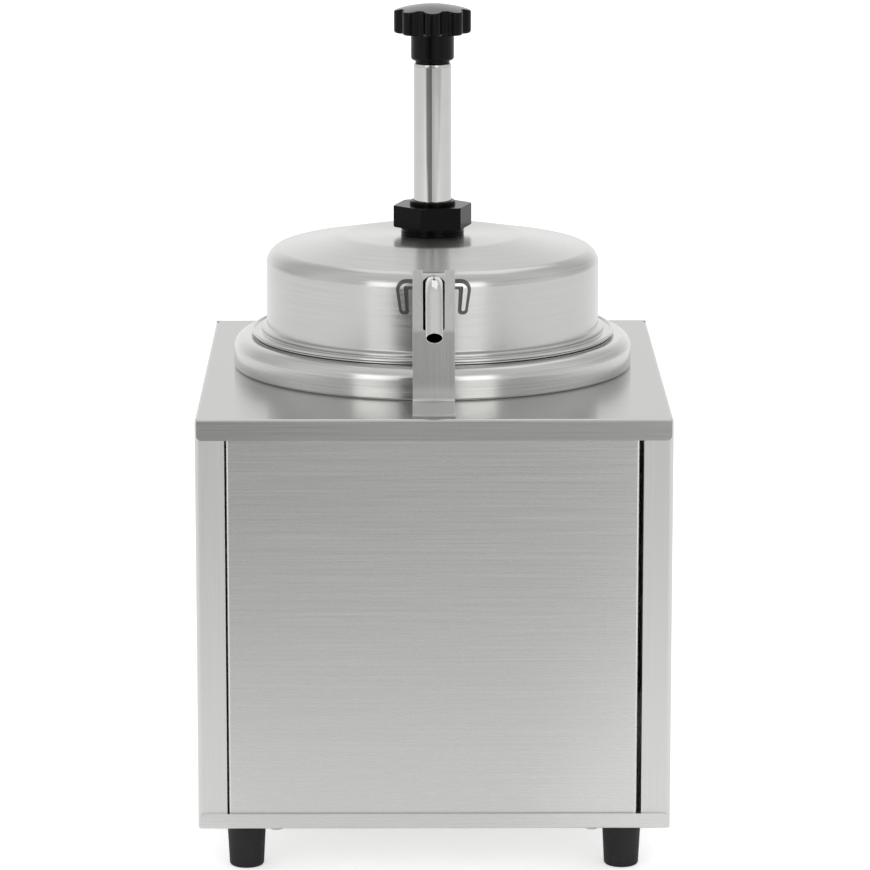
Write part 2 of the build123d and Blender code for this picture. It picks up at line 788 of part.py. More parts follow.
def pump_cylinder():
    """Stainless tube that hangs from the bush down into the crock."""
    return ring(cylinder_outer, cylinder_radius, cylinder_bottom, cylinder_top, 0, pot_y)


# ---------------------------------------------------------------- plunger
def star_knob():
    """Black moulded knob: crowned head with eight lobes, hub and neck."""
    lobe_place = knob_radius - knob_lobe_radius
    lobes = [
        place * Circle(knob_lobe_radius)
        for place in PolarLocations(lobe_place, knob_lobes, start_angle=90)
    ]
    star = Circle(knob_valley_radius) + lobes
    star = fillet(star.vertices(), knob_valley_fillet)
    low = knob_neck_height + knob_hub_height
    rim = low + knob_head_height
    apex = rim + knob_crown_height
    head = Pos(0, 0, low) * extrude(star, apex - low)
    half_out = (knob_radius * 0.52, rim + knob_crown_height * 0.75)
    crown = ThreePointArc((knob_radius, rim), half_out, (0, apex))
    side_line = FilletPolyline((0, low), (knob_radius, low), (knob_radius, rim), radius=knob_edge_radius)
    outline = make_face(side_line + crown + Line((0, apex), (0, low)))
    head &= revolve(Plane.XZ * outline, Axis.Z)
    hub = rod(knob_hub_radius, knob_neck_height, low + knob_edge_radius)
    hub = fillet(hub.edges().filter_by(GeomType.CIRCLE).sort_by(Axis.Z)[0], knob_edge_radius)
    knob = head + hub + rod(knob_neck_radius, 0, knob_neck_height + knob_edge_radius)
    knob -= rod(rod_radius + screw_gap, -1, knob_neck_height)
    knob -= rod(insert_radius + running_gap, knob_neck_height, rod_top - knob_neck_z + 1)
    return Pos(0, pot_y, knob_neck_z) * knob


def knob_insert():
    """Brass insert moulded into the knob, threaded for the rod."""
    return ring(insert_radius, rod_radius + thread_gap, knob_hub_z, knob_hub_z + insert_length, 0, pot_y)


def sleeve_cap():
    """Turned cap that closes the sleeve under the knob."""
    cap = rod(sleeve_radius, sleeve_top, sleeve_top + sleeve_cap_thickness, 0, pot_y)
    cap = fillet(cap.edges().filter_by(GeomType.CIRCLE).group_by(Axis.Z)[-1], sleeve_cap_edge)
    spigot_radius = sleeve_radius - sleeve_wall - thread_gap
    spigot_low = sleeve_top - sleeve_cap_spigot
    cap += rod(spigot_radius, spigot_low, sleeve_top, 0, pot_y)
    return cap - rod(rod_radius + thread_gap, spigot_low - 1, knob_neck_z + 1, 0, pot_y)


def plunger_sleeve():
    """Polished sleeve that slides through the bush."""
    return ring(sleeve_radius, sleeve_radius - sleeve_wall, sleeve_bottom, sleeve_top, 0, pot_y)


def stop_collar():
    """Collar that carries the sleeve and stops against the bush at the top of the stroke."""
    high = collar_z + collar_height
    collar = ring(collar_flange_radius, rod_radius + thread_gap, collar_z, high, 0, pot_y)
    return collar - rod(sleeve_radius + thread_gap, sleeve_bottom, high + 1, 0, pot_y)


def plunger_rod():
    """Rod through sleeve and piston, with a thicker middle that both seat on."""
    tail = piston_bottom - rod_nut_height - screw_point
    body = rod(rod_radius, tail, rod_top, 0, pot_y)
    return body + rod(rod_shoulder_radius, piston_top, collar_z, 0, pot_y)


def seal_levels():
    """Lower faces of the two piston seals."""
    return [piston_bottom + seal_edge, piston_top - seal_edge - seal_height]


def piston():
    """Piston with a groove for each of its two seals."""
    radius = cylinder_radius - piston_side_gap
    body = ring(radius, rod_radius + thread_gap, piston_bottom, piston_top, 0, pot_y)
    for low in seal_levels():
        body -= ring(radius + 1, radius - seal_groove_depth, low, low + seal_height, 0, pot_y)
    return body


def piston_seals():
    """Two food-grade seals that slide on the cylinder's wall."""
    outer = cylinder_radius - running_gap
    inner = cylinder_radius - piston_side_gap - seal_groove_depth + running_gap
    return Compound([ring(outer, inner, low, low + seal_height, 0, pot_y) for low in seal_levels()])


def rod_nut():
    """Nut that holds the piston on its rod."""
    low = piston_bottom - rod_nut_height
    return hex_nut(rod_nut_flats, rod_nut_height, rod_radius + thread_gap, 0, pot_y, low)


def return_spring():
    """Spring in the cylinder that pushes the piston up, wound as one wire."""
    margin = spring_wire_radius + running_gap
    height = spring_length - 2 * margin
    pitch = height / spring_turns
    print("spring gap between turns", round(pitch - 2 * spring_wire_radius, 2))
    path = Helix(pitch, height, spring_radius)
    wire = sweep(Plane(path @ 0, z_dir=path % 0) * Circle(spring_wire_radius), path, is_frenet=True)
    return Pos(0, pot_y, cylinder_bottom + margin) * wire


# ---------------------------------------------------------------- valves
def valve_block():
    """Block under the cylinder that holds the inlet valve and the discharge valve."""
    low, high = block_bottom, block_top
    width = discharge_lobe_radius
    body = rod(cylinder_outer + block_wall, low, high, 0, pot_y) + rod(width, low, high, 0, riser_y)
    body += block(-width, width, riser_y, pot_y, low, high)
    floor = cylinder_bottom - retainer_thickness
    body -= rod(cylinder_outer + thread_gap, floor, high + 1, 0, pot_y)
    seat = low + foot_seat_height
    body -= rod(foot_ball_chamber, seat, floor + 1, 0, pot_y)
    body -= rod(foot_inlet_radius, low - 1, seat + 1, 0, pot_y)
    ball_seat = low + discharge_seat_height
    pocket = ball_seat - discharge_pocket_depth
    body -= rod(discharge_pocket_radius, pocket, ball_seat + 1, 0, riser_y)
    body -= rod(discharge_chamber, ball_seat, riser_low, 0, riser_y)
    body -= rod(tube_radius + thread_gap, ball_seat, high + 1, 0, riser_y)
    channel_z = pocket + channel_radius + channel_floor
    channel_start = pot_y - foot_ball_chamber + channel_overlap
    return body - lying_rod(channel_radius, riser_y, channel_start, 0, channel_z)


def valve_retainer():
    """Disc that keeps the inlet ball down and carries the spring, slotted for the flow."""
    low = cylinder_bottom - retainer_thickness
    disc = rod(cylinder_outer, low, cylinder_bottom, 0, pot_y)
    slot = extrude(SlotOverall(retainer_slot_length, retainer_slot_width), retainer_thickness + 2)
    reach = retainer_slot_length / 2 + retainer_slot_width / 2 + spring_wire_radius / 8
    for place in PolarLocations(reach, retainer_slot_count):
        disc -= Pos(0, pot_y, low - 1) * place * slot
    return disc


def foot_ball():
    """Inlet ball, resting just clear of its seat."""
    rise = math.sqrt(foot_ball_radius**2 - foot_inlet_radius**2)
    return Pos(0, pot_y, block_bottom + foot_seat_height + rise + ball_gap) * Sphere(foot_ball_radius)


def discharge_ball():
    """Discharge ball, under the riser."""
    rise = math.sqrt(discharge_ball_radius**2 - discharge_pocket_radius**2)
    height = block_bottom + discharge_seat_height + rise + ball_gap
    return Pos(0, riser_y, height) * Sphere(discharge_ball_radius)


def discharge_tube():
    """One bent tube: riser in the crock, a run that climbs out through the lid, and the spout."""
    drop, climb = math.radians(spout_angle), math.radians(spout_slope)
    outlet = (pot_y - spout_reach, top_z + outlet_rise)
    reach = spout_run + spout_bend_radius * math.tan((drop + climb) / 2)
    elbow = (outlet[0] + reach * math.cos(drop), outlet[1] + reach * math.sin(drop))
    corner = (riser_y, elbow[1] - (riser_y - elbow[0]) * math.tan(climb))
    path = Plane.YZ * FilletPolyline(
        (riser_y, riser_low), corner, elbow, outlet,
        radius=[riser_bend_radius, spout_bend_radius],
    )
    start = Plane(path @ 0, z_dir=path % 0) * Rot(0, 0, tube_seam_angle)
    bore = sweep(start * Circle(tube_radius - tube_wall), path)
    return sweep(start * Circle(tube_radius), path) - bore


def riser_nut():
    """Nut that holds the riser in the valve block."""
    bore = tube_radius + thread_gap
    return hex_nut(riser_nut_flats, riser_nut_height, bore, 0, riser_y, block_top)


def spout_fork():
    """Bent strip welded to the top sheet, forked at the top to take the spout."""
    line = FilletPolyline(
        (fork_radius + fork_foot_length, top_z),
        (fork_radius, top_z),
        (fork_radius, top_z + fork_bend_rise),
        (fork_radius - fork_lean, top_z + fork_top_rise),
        radius=[fork_bend_radius, fork_sheet],
    )
    side_view = make_face(offset(line, amount=fork_sheet, side=Side.RIGHT, closed=True))
    strip = extrude(Plane.YZ * mirror(side_view, Plane.YZ), fork_width / 2, both=True)
    slot_low, slot_high = top_z + fork_bend_rise, top_z + fork_top_rise + 2
    half = fork_slot_width / 2
    front, back = -fork_radius - 2 * fork_sheet, -fork_radius + 2 * fork_lean
    slot = block(-half, half, front, back, slot_low, slot_high)
    slot = fillet(slot.edges().filter_by(Axis.Y).group_by(Axis.Z)[0], fork_corner_radius)
    return Pos(0, pot_y, 0) * (strip - slot)


# ---------------------------------------------------------------- controls
def thermostat_body():
    """Thermostat case behind the rear panel, with a bore for its shaft."""
    x, y_high = thermostat_x, inner_face - sheet
    half = thermostat_size / 2
    case = block(x - half, x + half, case_low, y_high, control_z - half, control_z + half)
    case = fillet(case.edges().filter_by(Axis.Y), thermostat_corner_radius)
    bore = thermostat_shaft_radius + running_gap
    case -= lying_rod(bore, case_low + thermostat_shaft_wall, y_high + 1, x, control_z)
    hole = thermostat_screw_radius + thread_gap
    hole_low = y_high - thermostat_screw_reach - screw_gap
    for dx in (-thermostat_screw_spread, thermostat_screw_spread):
        case -= lying_rod(hole, hole_low, y_high + 1, x + dx, control_z)
    return case


def thermostat_screws():
    """Two low screws that hold the thermostat, hidden under the dial."""
    radius, low, seat = thermostat_screw_radius, inner_face - sheet - thermostat_screw_reach, inner_face
    screws = []
    for dx in (-thermostat_screw_spread, thermostat_screw_spread):
        x = thermostat_x + dx
        head = lying_rod(2 * radius, seat, seat + thermostat_screw_head, x, control_z)
        screws.append(lying_rod(radius, low, seat, x, control_z) + head)
    return Compound(screws)


def shaft_section(radius, flat):
    """A round section with a flat on one side."""
    return Circle(radius) - Pos(0, flat + radius) * Rectangle(4 * radius, 2 * radius)


def thermostat_shaft():
    """Shaft of the thermostat, with a flat for the dial."""
    low = case_low + thermostat_shaft_wall + seat_gap
    seat = inner_face + dial_gap
    end = seat + dial_height - dial_cap
    radius = thermostat_shaft_radius
    section = shaft_section(radius, radius * thermostat_shaft_flat)
    shaft = lying_rod(radius, low, seat, thermostat_x, control_z)
    return shaft + Pos(thermostat_x, seat, control_z) * Rot(-90, 0, 0) * extrude(section, end - seat)


def thermostat_dial():
    """Dial with a wide skirt, a fluted grip and a raised pointer."""
    skirt = rod(dial_radius, 0, dial_skirt_height)
    skirt = chamfer(skirt.edges().filter_by(GeomType.CIRCLE).sort_by(Axis.Z)[-1], dial_edge)
    outline = Circle(dial_grip_radius)
    for place in PolarLocations(dial_grip_radius + dial_flute_radius / 2, dial_flute_count, 15):
        outline -= place * Circle(dial_flute_radius)
    grip = rod(dial_grip_radius, dial_skirt_height / 2, dial_height)
    grip = chamfer(grip.edges().filter_by(GeomType.CIRCLE).sort_by(Axis.Z)[-1], dial_edge)
    grip &= extrude(outline, dial_height + 1)
    half = dial_pointer_width / 2
    reach = dial_radius - dial_pointer_margin
    top = dial_skirt_height + dial_pointer_height
    pointer = block(-half, half, -reach, -dial_hollow_radius - 1, dial_skirt_height / 2, top)
    dial = skirt + grip + pointer
    boss_radius = thermostat_shaft_radius + dial_boss_wall
    dial -= ring(dial_hollow_radius, boss_radius, -1, dial_height - dial_hollow_end)
    radius = thermostat_shaft_radius + running_gap
    bore = shaft_section(radius, thermostat_shaft_radius * thermostat_shaft_flat + running_gap)
    dial -= Pos(0, 0, -1) * extrude(bore, dial_height - dial_cap + 1)
    room = 2 * thermostat_screw_radius + dial_screw_room
    for dx in (-thermostat_screw_spread, thermostat_screw_spread):
        dial -= rod(room, -1, dial_skirt_height / 3, dx, 0)
    return Pos(thermostat_x, inner_face + dial_gap, control_z) * Rot(-90, 0, 0) * dial


def thermostat_bulb():
    """Sensing bulb against the bath's wall, with its fine tube down to the thermostat."""
    bulb_x, bulb_y = bulb_place()
    low = bath_floor + bulb_height
    bulb = rod(bulb_radius, low, low + bulb_length, bulb_x, bulb_y)
    bulb = fillet(bulb.edges().filter_by(GeomType.CIRCLE), bulb_radius * 0.6)
    case_y = case_low + thermostat_depth / 2
    case_top = control_z + thermostat_size / 2
    turn_z = case_top + capillary_room
    path = FilletPolyline(
        (bulb_x, bulb_y, low + 1), (bulb_x, bulb_y, turn_z),
        (thermostat_x, case_y, turn_z), (thermostat_x, case_y, case_top),
        radius=capillary_bend_radius,
    )
    return bulb + sweep(Plane(path @ 0, z_dir=path % 0) * Circle(capillary_radius), path)


def bulb_place():
    """Axis of the bulb, touching the bath's wall behind and to the left."""
    angle = math.radians(bulb_angle)
    reach = bath_outer + bulb_radius + clip_sheet
    return reach * math.cos(angle), pot_y + reach * math.sin(angle)


def bulb_clip():
    """Sheet clip welded to the bath that holds the bulb."""
    bulb_x, bulb_y = bulb_place()
    low = bath_floor + bulb_height + bulb_length / 2
    outer = bulb_radius + running_gap + clip_sheet
    clip = ring(outer, bulb_radius + running_gap, low, low + clip_height, bulb_x, bulb_y)
    return clip - rod(bath_outer, low - 1, low + clip_height + 1, 0, pot_y)


def switch_frame():
    """Snap-in frame and body of the rocker switch."""
    half_w, half_h = switch_width / 2, switch_height / 2
    bezel = block(-half_w, half_w, inner_face, inner_face + switch_bezel, -half_h, half_h)
    bezel = fillet(bezel.edges().filter_by(Axis.Y), switch_corner_radius)
    body_w, body_h = half_w - switch_body_inset, half_h - switch_body_inset
    bezel += block(-body_w, body_w, inner_face - switch_body_depth, inner_face, -body_h, body_h)
    open_w, open_h = rocker_width / 2 + seat_gap, rocker_radius + seat_gap
    deep = inner_face - rocker_radius
    bezel -= block(-open_w, open_w, deep, inner_face + switch_bezel + 1, -open_h, open_h)
    pin = rocker_pin_radius + running_gap
    hole = Rot(0, 90, 0) * Cylinder(pin, rocker_width + 2 * rocker_pin_length + 2 * seat_gap)
    bezel -= Pos(0, inner_face, 0) * hole
    return Pos(switch_x, 0, control_z) * bezel


def rocker():
    """Rocker on two side pins, lying at its OFF side."""
    outer = [
        (-rocker_radius, rocker_end_height), (0, rocker_centre_height), (rocker_radius, rocker_end_height),
        (rocker_radius, -rocker_depth), (-rocker_radius, -rocker_depth),
    ]
    section = polygon(*outer) & Circle(rocker_radius)
    body = Plane.YZ * Rot(0, 0, -90) * section
    body = extrude(body, rocker_width / 2, both=True)
    pins = Rot(0, 90, 0) * Cylinder(rocker_pin_radius, rocker_width + 2 * rocker_pin_length)
    return Pos(switch_x, inner_face, control_z) * Rot(-rocker_tilt, 0, 0) * (body + pins)


def pilot_lamp():
    """Pilot lamp body with its bezel, pushed in from outside."""
    lamp = lying_rod(lamp_bezel_radius, inner_face, inner_face + lamp_bezel, lamp_x, control_z)
    lamp += lying_rod(lamp_radius, inner_face - lamp_body_depth, inner_face, lamp_x, control_z)
    low, high = inner_face - lens_seat_depth, inner_face + lamp_bezel + 1
    return lamp - lying_rod(lamp_radius - lamp_rim, low, high, lamp_x, control_z)


def pilot_lens():
    """Domed lens in the lamp's bezel."""
    lens = rod(lamp_radius - lamp_rim - running_gap, 0, lens_length)
    lens = fillet(lens.edges().filter_by(GeomType.CIRCLE).sort_by(Axis.Z)[-1], lens_edge_radius)
    return Pos(lamp_x, inner_face - lens_seat_depth, control_z) * Rot(-90, 0, 0) * lens


def cable_gland():
    """Gland for the supply lead: hexagon, domed cap and thread through the panel."""
    inside = sheet + gland_thread_length
    outside = gland_flange + gland_dome_length
    dome = rod(gland_dome_radius, gland_flange, outside)
    dome = fillet(dome.edges().filter_by(GeomType.CIRCLE).sort_by(Axis.Z)[-1], gland_edge_radius)
    hexagon = extrude(RegularPolygon(gland_flats / math.sqrt(3), 6), gland_flange)
    gland = hexagon + dome + rod(gland_radius, -inside, 0) - rod(gland_bore_radius, -inside - 1, outside + 1)
    return Pos(gland_x, inner_face, gland_z) * Rot(-90, 0, 0) * gland


def gland_locknut():
    """Nut that holds the gland from inside."""
    nut = hex_nut(gland_flats, gland_nut_height, gland_radius + thread_gap, 0, 0, 0)
    return Pos(gland_x, inner_face - sheet - gland_nut_height, gland_z) * Rot(-90, 0, 0) * nut


def terminal_block():
    """Terminal block screwed down on the tray, with a well for each terminal."""
    length, depth, height = terminal_size
    body = block(-length / 2, length / 2, -depth / 2, depth / 2, 0, height)
    body = Pos(terminal_x, terminal_y, floor_z) * body
    for x in terminal_places():
        well = terminal_screw_radius + thread_gap
        body -= rod(well, floor_z + terminal_well_floor, floor_z + height + 1, x, terminal_y)
    return body


def terminal_places():
    """X of each terminal."""
    pitch = terminal_size[0] / terminal_count
    first = terminal_x - terminal_size[0] / 2 + pitch / 2
    return [first + pitch * index for index in range(terminal_count)]


def terminal_screws():
    """Clamping screws in the terminal block."""
    low = floor_z + terminal_well_floor
    high = floor_z + terminal_size[2] - terminal_screw_sink
    return Compound([rod(terminal_screw_radius, low, high, x, terminal_y) for x in terminal_places()])


def earth_stud():
    """Earth stud welded to the tray."""
    return rod(earth_stud_radius, floor_z, floor_z + earth_stud_height, earth_x, earth_y)


def earth_nut():
    """Nut on the earth stud."""
    sizes = (base_nut_flats, base_nut_height, earth_stud_radius + thread_gap)
    return hex_nut(*sizes, earth_x, earth_y, floor_z + earth_nut_lift)


# ---------------------------------------------------------------- the assembly
PIECES = {
    "outer_wrapper": outer_wrapper,
    "base_tray": base_tray,
    "front_panel": lambda: panel(-1),
    "rear_panel": rear_panel,
    "feet": feet,
    "foot_screws": foot_screws,
    "foot_nuts": foot_nuts,
    "base_screws": base_screws,
    "base_nuts": base_nuts,
    "bath_collar": bath_collar,
    "water_bath": water_bath,
    "heater_stud": heater_stud,
    "heater_plate": heater_plate,
    "heating_element": heating_element,
    "clamp_plate": clamp_plate,
    "clamp_nut": clamp_nut,
    "crock": crock,
    "lid_dome": lid_dome,
    "spout_ears": spout_ears,
    "pump_bush": pump_bush,
    "lid_washer": lid_washer,
    "pump_nut": pump_nut,
    "pump_cylinder": pump_cylinder,
    "star_knob": star_knob,
    "knob_insert": knob_insert,
    "sleeve_cap": sleeve_cap,
    "plunger_sleeve": plunger_sleeve,
    "stop_collar": stop_collar,
    "plunger_rod": plunger_rod,
    "piston": piston,
    "piston_seals": piston_seals,
    "rod_nut": rod_nut,
    "return_spring": return_spring,
    "valve_block": valve_block,
    "valve_retainer": valve_retainer,
    "foot_ball": foot_ball,
    "discharge_ball": discharge_ball,
    "discharge_tube": discharge_tube,
    "riser_nut": riser_nut,
    "spout_fork": spout_fork,
    "thermostat_body": thermostat_body,
    "thermostat_screws": thermostat_screws,
    "thermostat_shaft": thermostat_shaft,
    "thermostat_dial": thermostat_dial,
    "thermostat_bulb": thermostat_bulb,
    "bulb_clip": bulb_clip,
    "switch_frame": switch_frame,
    "rocker": rocker,
    "pilot_lamp": pilot_lamp,
    "pilot_lens": pilot_lens,
    "cable_gland": cable_gland,
    "gland_locknut": gland_locknut,
    "terminal_block": terminal_block,
    "terminal_screws": terminal_screws,
    "earth_stud": earth_stud,
    "earth_nut": earth_nut,
}

os.makedirs("parts", exist_ok=True)
for name, make in PIECES.items():
    export_step(make(), f"parts/{name}.step")
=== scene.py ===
"""Countertop topping warmer with a hand pump: its looks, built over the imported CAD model.

Sizes are in millimetres and turned to metres where a mesh is made. X runs to the right seen from
the front, Y to the back, and Z up from the surface that the feet stand on.
"""

import math

import bmesh
import bpy
from mathutils import Matrix, Vector


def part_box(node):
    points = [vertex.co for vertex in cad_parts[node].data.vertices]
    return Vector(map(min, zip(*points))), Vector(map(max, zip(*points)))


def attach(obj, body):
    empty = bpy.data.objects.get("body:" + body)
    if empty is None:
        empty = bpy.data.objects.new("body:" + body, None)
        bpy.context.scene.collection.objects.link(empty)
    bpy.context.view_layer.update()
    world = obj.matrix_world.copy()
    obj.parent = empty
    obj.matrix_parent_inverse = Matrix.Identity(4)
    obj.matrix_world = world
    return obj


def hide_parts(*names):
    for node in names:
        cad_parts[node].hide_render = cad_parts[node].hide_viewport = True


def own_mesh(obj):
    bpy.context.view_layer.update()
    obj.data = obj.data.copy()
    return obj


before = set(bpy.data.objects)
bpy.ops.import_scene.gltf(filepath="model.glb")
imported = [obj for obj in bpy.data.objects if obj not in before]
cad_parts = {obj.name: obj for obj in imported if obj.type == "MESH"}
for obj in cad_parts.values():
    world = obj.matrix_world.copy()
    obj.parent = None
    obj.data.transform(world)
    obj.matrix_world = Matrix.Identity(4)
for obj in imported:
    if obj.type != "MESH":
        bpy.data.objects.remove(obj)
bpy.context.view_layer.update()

scene = bpy.context.scene
scene.view_settings.view_transform = "Standard"

# ------
# Studio. A long lens 2.2 m in front of the cabinet looks down on it by 11.7 degrees. The floor is a
# sheet of white paper, the room is white and evenly lit, and two tall soft boxes stand left and
# right of the lens. Polished metal sees the floor between them painted dark, as a studio's flags would make
# it.
MM = 0.001
IMAGE_SIDE = 870
FOCAL_PIXELS = 4631
SENSOR = 36.0
LENS_PLACE = (-13.4, -2355.0, 684.7)
LOOK_DOWN, PAN = 0.2042, -0.0062  # radians

lens = bpy.data.cameras.new("studio_lens")
lens.sensor_width = SENSOR
lens.lens = FOCAL_PIXELS / IMAGE_SIDE * SENSOR
lens.clip_end = 20.0
camera = bpy.data.objects.new("studio_camera", lens)
camera.location = Vector(LENS_PLACE) * MM
camera.rotation_euler = (math.pi / 2 - LOOK_DOWN, 0, PAN)
scene.collection.objects.link(camera)
scene.camera = camera


def linear(hex_colour):
    """An sRGB hex colour as the linear colour that a shader takes."""
    parts = [int(hex_colour[i : i + 2], 16) / 255 for i in (1, 3, 5)]
    return [p / 12.92 if p <= 0.04045 else ((p + 0.055) / 1.055) ** 2.4 for p in parts] + [1.0]


def add(tree, kind, inputs=None, **settings):
    """Adds one node: its settings, and its inputs as values or as links from other sockets."""
    made = tree.nodes.new("ShaderNode" + kind)
    for setting, value in settings.items():
        setattr(made, setting, value)
    for socket, value in (inputs or {}).items():
        if isinstance(value, bpy.types.NodeSocket):
            tree.links.new(value, made.inputs[socket])
        else:
            made.inputs[socket].default_value = value
    return made


def new_finish(name):
    """An empty material and its node tree."""
    finish = bpy.data.materials.new(name)
    finish.use_nodes = True
    finish.node_tree.nodes.clear()
    return finish, finish.node_tree


# Seamless paper, matt and near white. The camera sees it lifted towards pure white, and it keeps
# the object's shadow. Only mirrored rays find it painted dark: more and more so over the first 1.2 m in
# front of the cabinet, in a sector between the soft boxes, and beyond 1.8 m to the left of the lens.
# Outside that sector, mirrored rays see it with a faint painted glow.
paper, tree = new_finish("seamless white paper")
place = add(tree, "TexCoord").outputs["Object"]
fibre = add(tree, "TexNoise", {"Vector": place, "Scale": 60.0})
tone = add(tree, "MixRGB", {0: fibre.outputs[0], 1: linear("#F4F4F4"), 2: linear("#F8F8F8")})
rays = add(tree, "LightPath").outputs
spot = add(tree, "SeparateXYZ", {0: place}).outputs
slant = add(tree, "Math", {0: spot[0], 1: spot[1]}, operation="DIVIDE").outputs[0]


def zone(tree, *edges):
    """How far a ray is inside a zone of the studio, as a product of straight ramps.

    Each edge is a value, where its ramp starts and ends, and its levels at those two places.
    """
    inside = 1.0
    for value, start, end, before, after in edges:
        limits = {"From Min": start, "From Max": end, "To Min": before, "To Max": after}
        faded = add(tree, "MapRange", {"Value": value, **limits}).outputs[0]
        inside = add(tree, "Math", {0: inside, 1: faded}, operation="MULTIPLY").outputs[0]
    return inside


is_mirrored = (rays["Is Glossy Ray"], 0, 1, 0, 1)
near = zone(tree, (spot[1], -0.1, -1.2, 0, 0.9), (slant, -0.32, -0.18, 0, 1), (slant, 0.58, 0.42, 0, 1))
far = zone(tree, (slant, 0.045, 0.075, 0.3, 0.78), (slant, 1.0, 0.7, 0, 1))
beyond = zone(tree, (spot[1], -1.7, -1.9, 0, 1))
sector = add(tree, "MixRGB", {0: beyond, 1: near, 2: far}).outputs[0]
# Painted dark reflection: mirrored rays find the paper dark inside the sector.
painted_dark_reflection = zone(tree, (sector, 0, 1, 0, 1), is_mirrored)
toned = add(tree, "MixRGB", {0: painted_dark_reflection, 1: tone.outputs[0], 2: linear("#1C1C1C")})
matt = add(tree, "BsdfDiffuse", {"Color": toned.outputs[0]})
# Painted glow: outside the dark sector, mirrored rays see the paper lifted a little.
mirrored = zone(tree, (sector, 0, 1, 0.18, 0), is_mirrored)
lifting = add(tree, "MixRGB", {0: rays["Is Camera Ray"], 1: mirrored, 2: (0.5, 0.5, 0.5, 1)})
lift = add(tree, "Emission", {"Color": linear("#FFFFFF"), "Strength": lifting.outputs[0]})
both = add(tree, "AddShader", {0: matt.outputs[0], 1: lift.outputs[0]})
add(tree, "OutputMaterial", {"Surface": both.outputs[0]})

FLOOR = 4.0  # radius in metres
sheet = bmesh.new()
bmesh.ops.create_circle(sheet, cap_ends=True, segments=96, radius=FLOOR)
floor_mesh = bpy.data.meshes.new("studio_floor")
sheet.to_mesh(floor_mesh)
sheet.free()
floor_mesh.materials.append(paper)
floor = bpy.data.objects.new("studio_floor", floor_mesh)
scene.collection.objects.link(floor)

# The room: white to the camera. Lit surfaces and reflections see it white too, a little dimmer at
# the camera's end of the room. Metal also sees its grey side walls, and a dark gap left of the lens.
WALL_GREY, GAP_GREY = 0.64, 0.06
world = bpy.data.worlds.new("studio_room")
world.use_nodes = True
scene.world = world
tree = world.node_tree
tree.nodes.clear()
direction = add(tree, "TexCoord").outputs["Generated"]
facing = add(tree, "VectorMath", {0: direction, 1: (0.08, -0.98, 0.1)}, operation="DOT_PRODUCT")
toward_lens = facing.outputs["Value"]
spot = add(tree, "SeparateXYZ", {0: direction}).outputs
slant = add(tree, "Math", {0: spot[0], 1: spot[1]}, operation="DIVIDE").outputs[0]
rays = add(tree, "LightPath").outputs
is_mirrored = (rays["Is Glossy Ray"], 0, 1, 0, 1)
room = zone(tree, (toward_lens, -0.95, 0.95, 1.0, 0.62))
side_walls = zone(tree, (toward_lens, -0.9, -0.6, 0, 1), (toward_lens, 0.1, -0.3, 0, 1), is_mirrored)
dark_gap = zone(
    tree, (slant, 0.08, 0.16, 0, 1), (slant, 0.56, 0.42, 0, 1), (spot[1], -0.3, -0.5, 0, 1),
    (spot[2], 0.5, 0.35, 0, 1), is_mirrored,
)
walls = add(tree, "MixRGB", {0: side_walls, 1: room, 2: (WALL_GREY, WALL_GREY, WALL_GREY, 1)})
gapped = add(tree, "MixRGB", {0: dark_gap, 1: walls.outputs[0], 2: (GAP_GREY, GAP_GREY, GAP_GREY, 1)})
strength = add(tree, "MixRGB", {0: rays["Is Camera Ray"], 1: gapped.outputs[0], 2: (1, 1, 1, 1)})
glow = add(tree, "Background", {"Color": linear("#FFFFFF"), "Strength": strength.outputs[0]})
add(tree, "OutputWorld", {"Surface": glow.outputs[0]})


def soft_box(name, azimuth, distance, height, size, power):
    """A soft box that faces the cabinet, at an angle in degrees to the right of the lens."""
    lamp = bpy.data.lights.new(name, "AREA")
    lamp.shape = "RECTANGLE"
    lamp.size, lamp.size_y = size
    lamp.energy = power
    box = bpy.data.objects.new(name, lamp)
    turn = math.radians(azimuth)
    box.location = (distance * math.sin(turn), -distance * math.cos(turn), height)
    aim = Vector((0, 0, 0.2)) - box.location
    box.rotation_euler = aim.to_track_quat("-Z", "Y").to_euler()
    box.visible_camera = False
    scene.collection.objects.link(box)


soft_box("soft_box_left", azimuth=-32, distance=2.6, height=0.95, size=(1.25, 1.7), power=7.2)
soft_box("soft_box_right", azimuth=25, distance=2.6, height=0.95, size=(1.05, 1.7), power=6.4)
soft_box("soft_box_above", azimuth=170, distance=1.1, height=2.2, size=(1.8, 1.4), power=4.5)

# ------
# Cabinet shell: top, sides, columns and aprons folded from one 1.5 mm sheet of ground stainless
# steel. The fold radius along the sides is 2.5 mm, and the aprons lap over the columns.
WIDTH, DEPTH = 235.0, 273.0
TOP = 233.0
FOOT = 25.0
SHEET = 1.5
COLUMN = 14.5
FOLD = 2.5
APRON = 10.6
BATH_HOLE = 92.2  # radius
BOTTOM_FOLD = 32.0
POT_Y = 12.5  # axis of bath, crock, lid and pump


def ground_lines(tree, across, along, axis):
    """Grinding lines of a flat sheet: noise drawn out along one axis, its spacing in mm."""
    scale = [1 / (across * MM)] * 3
    scale["XYZ".index(axis)] = 1 / (along * MM)
    place = add(tree, "TexCoord").outputs["Object"]
    drawn = add(tree, "Mapping", {"Vector": place, "Scale": scale})
    lines = add(tree, "TexNoise", {
        "Vector": drawn.outputs[0], "Scale": 1.0, "Detail": 3.0, "Roughness": 0.65,
    })
    return lines.outputs[0]


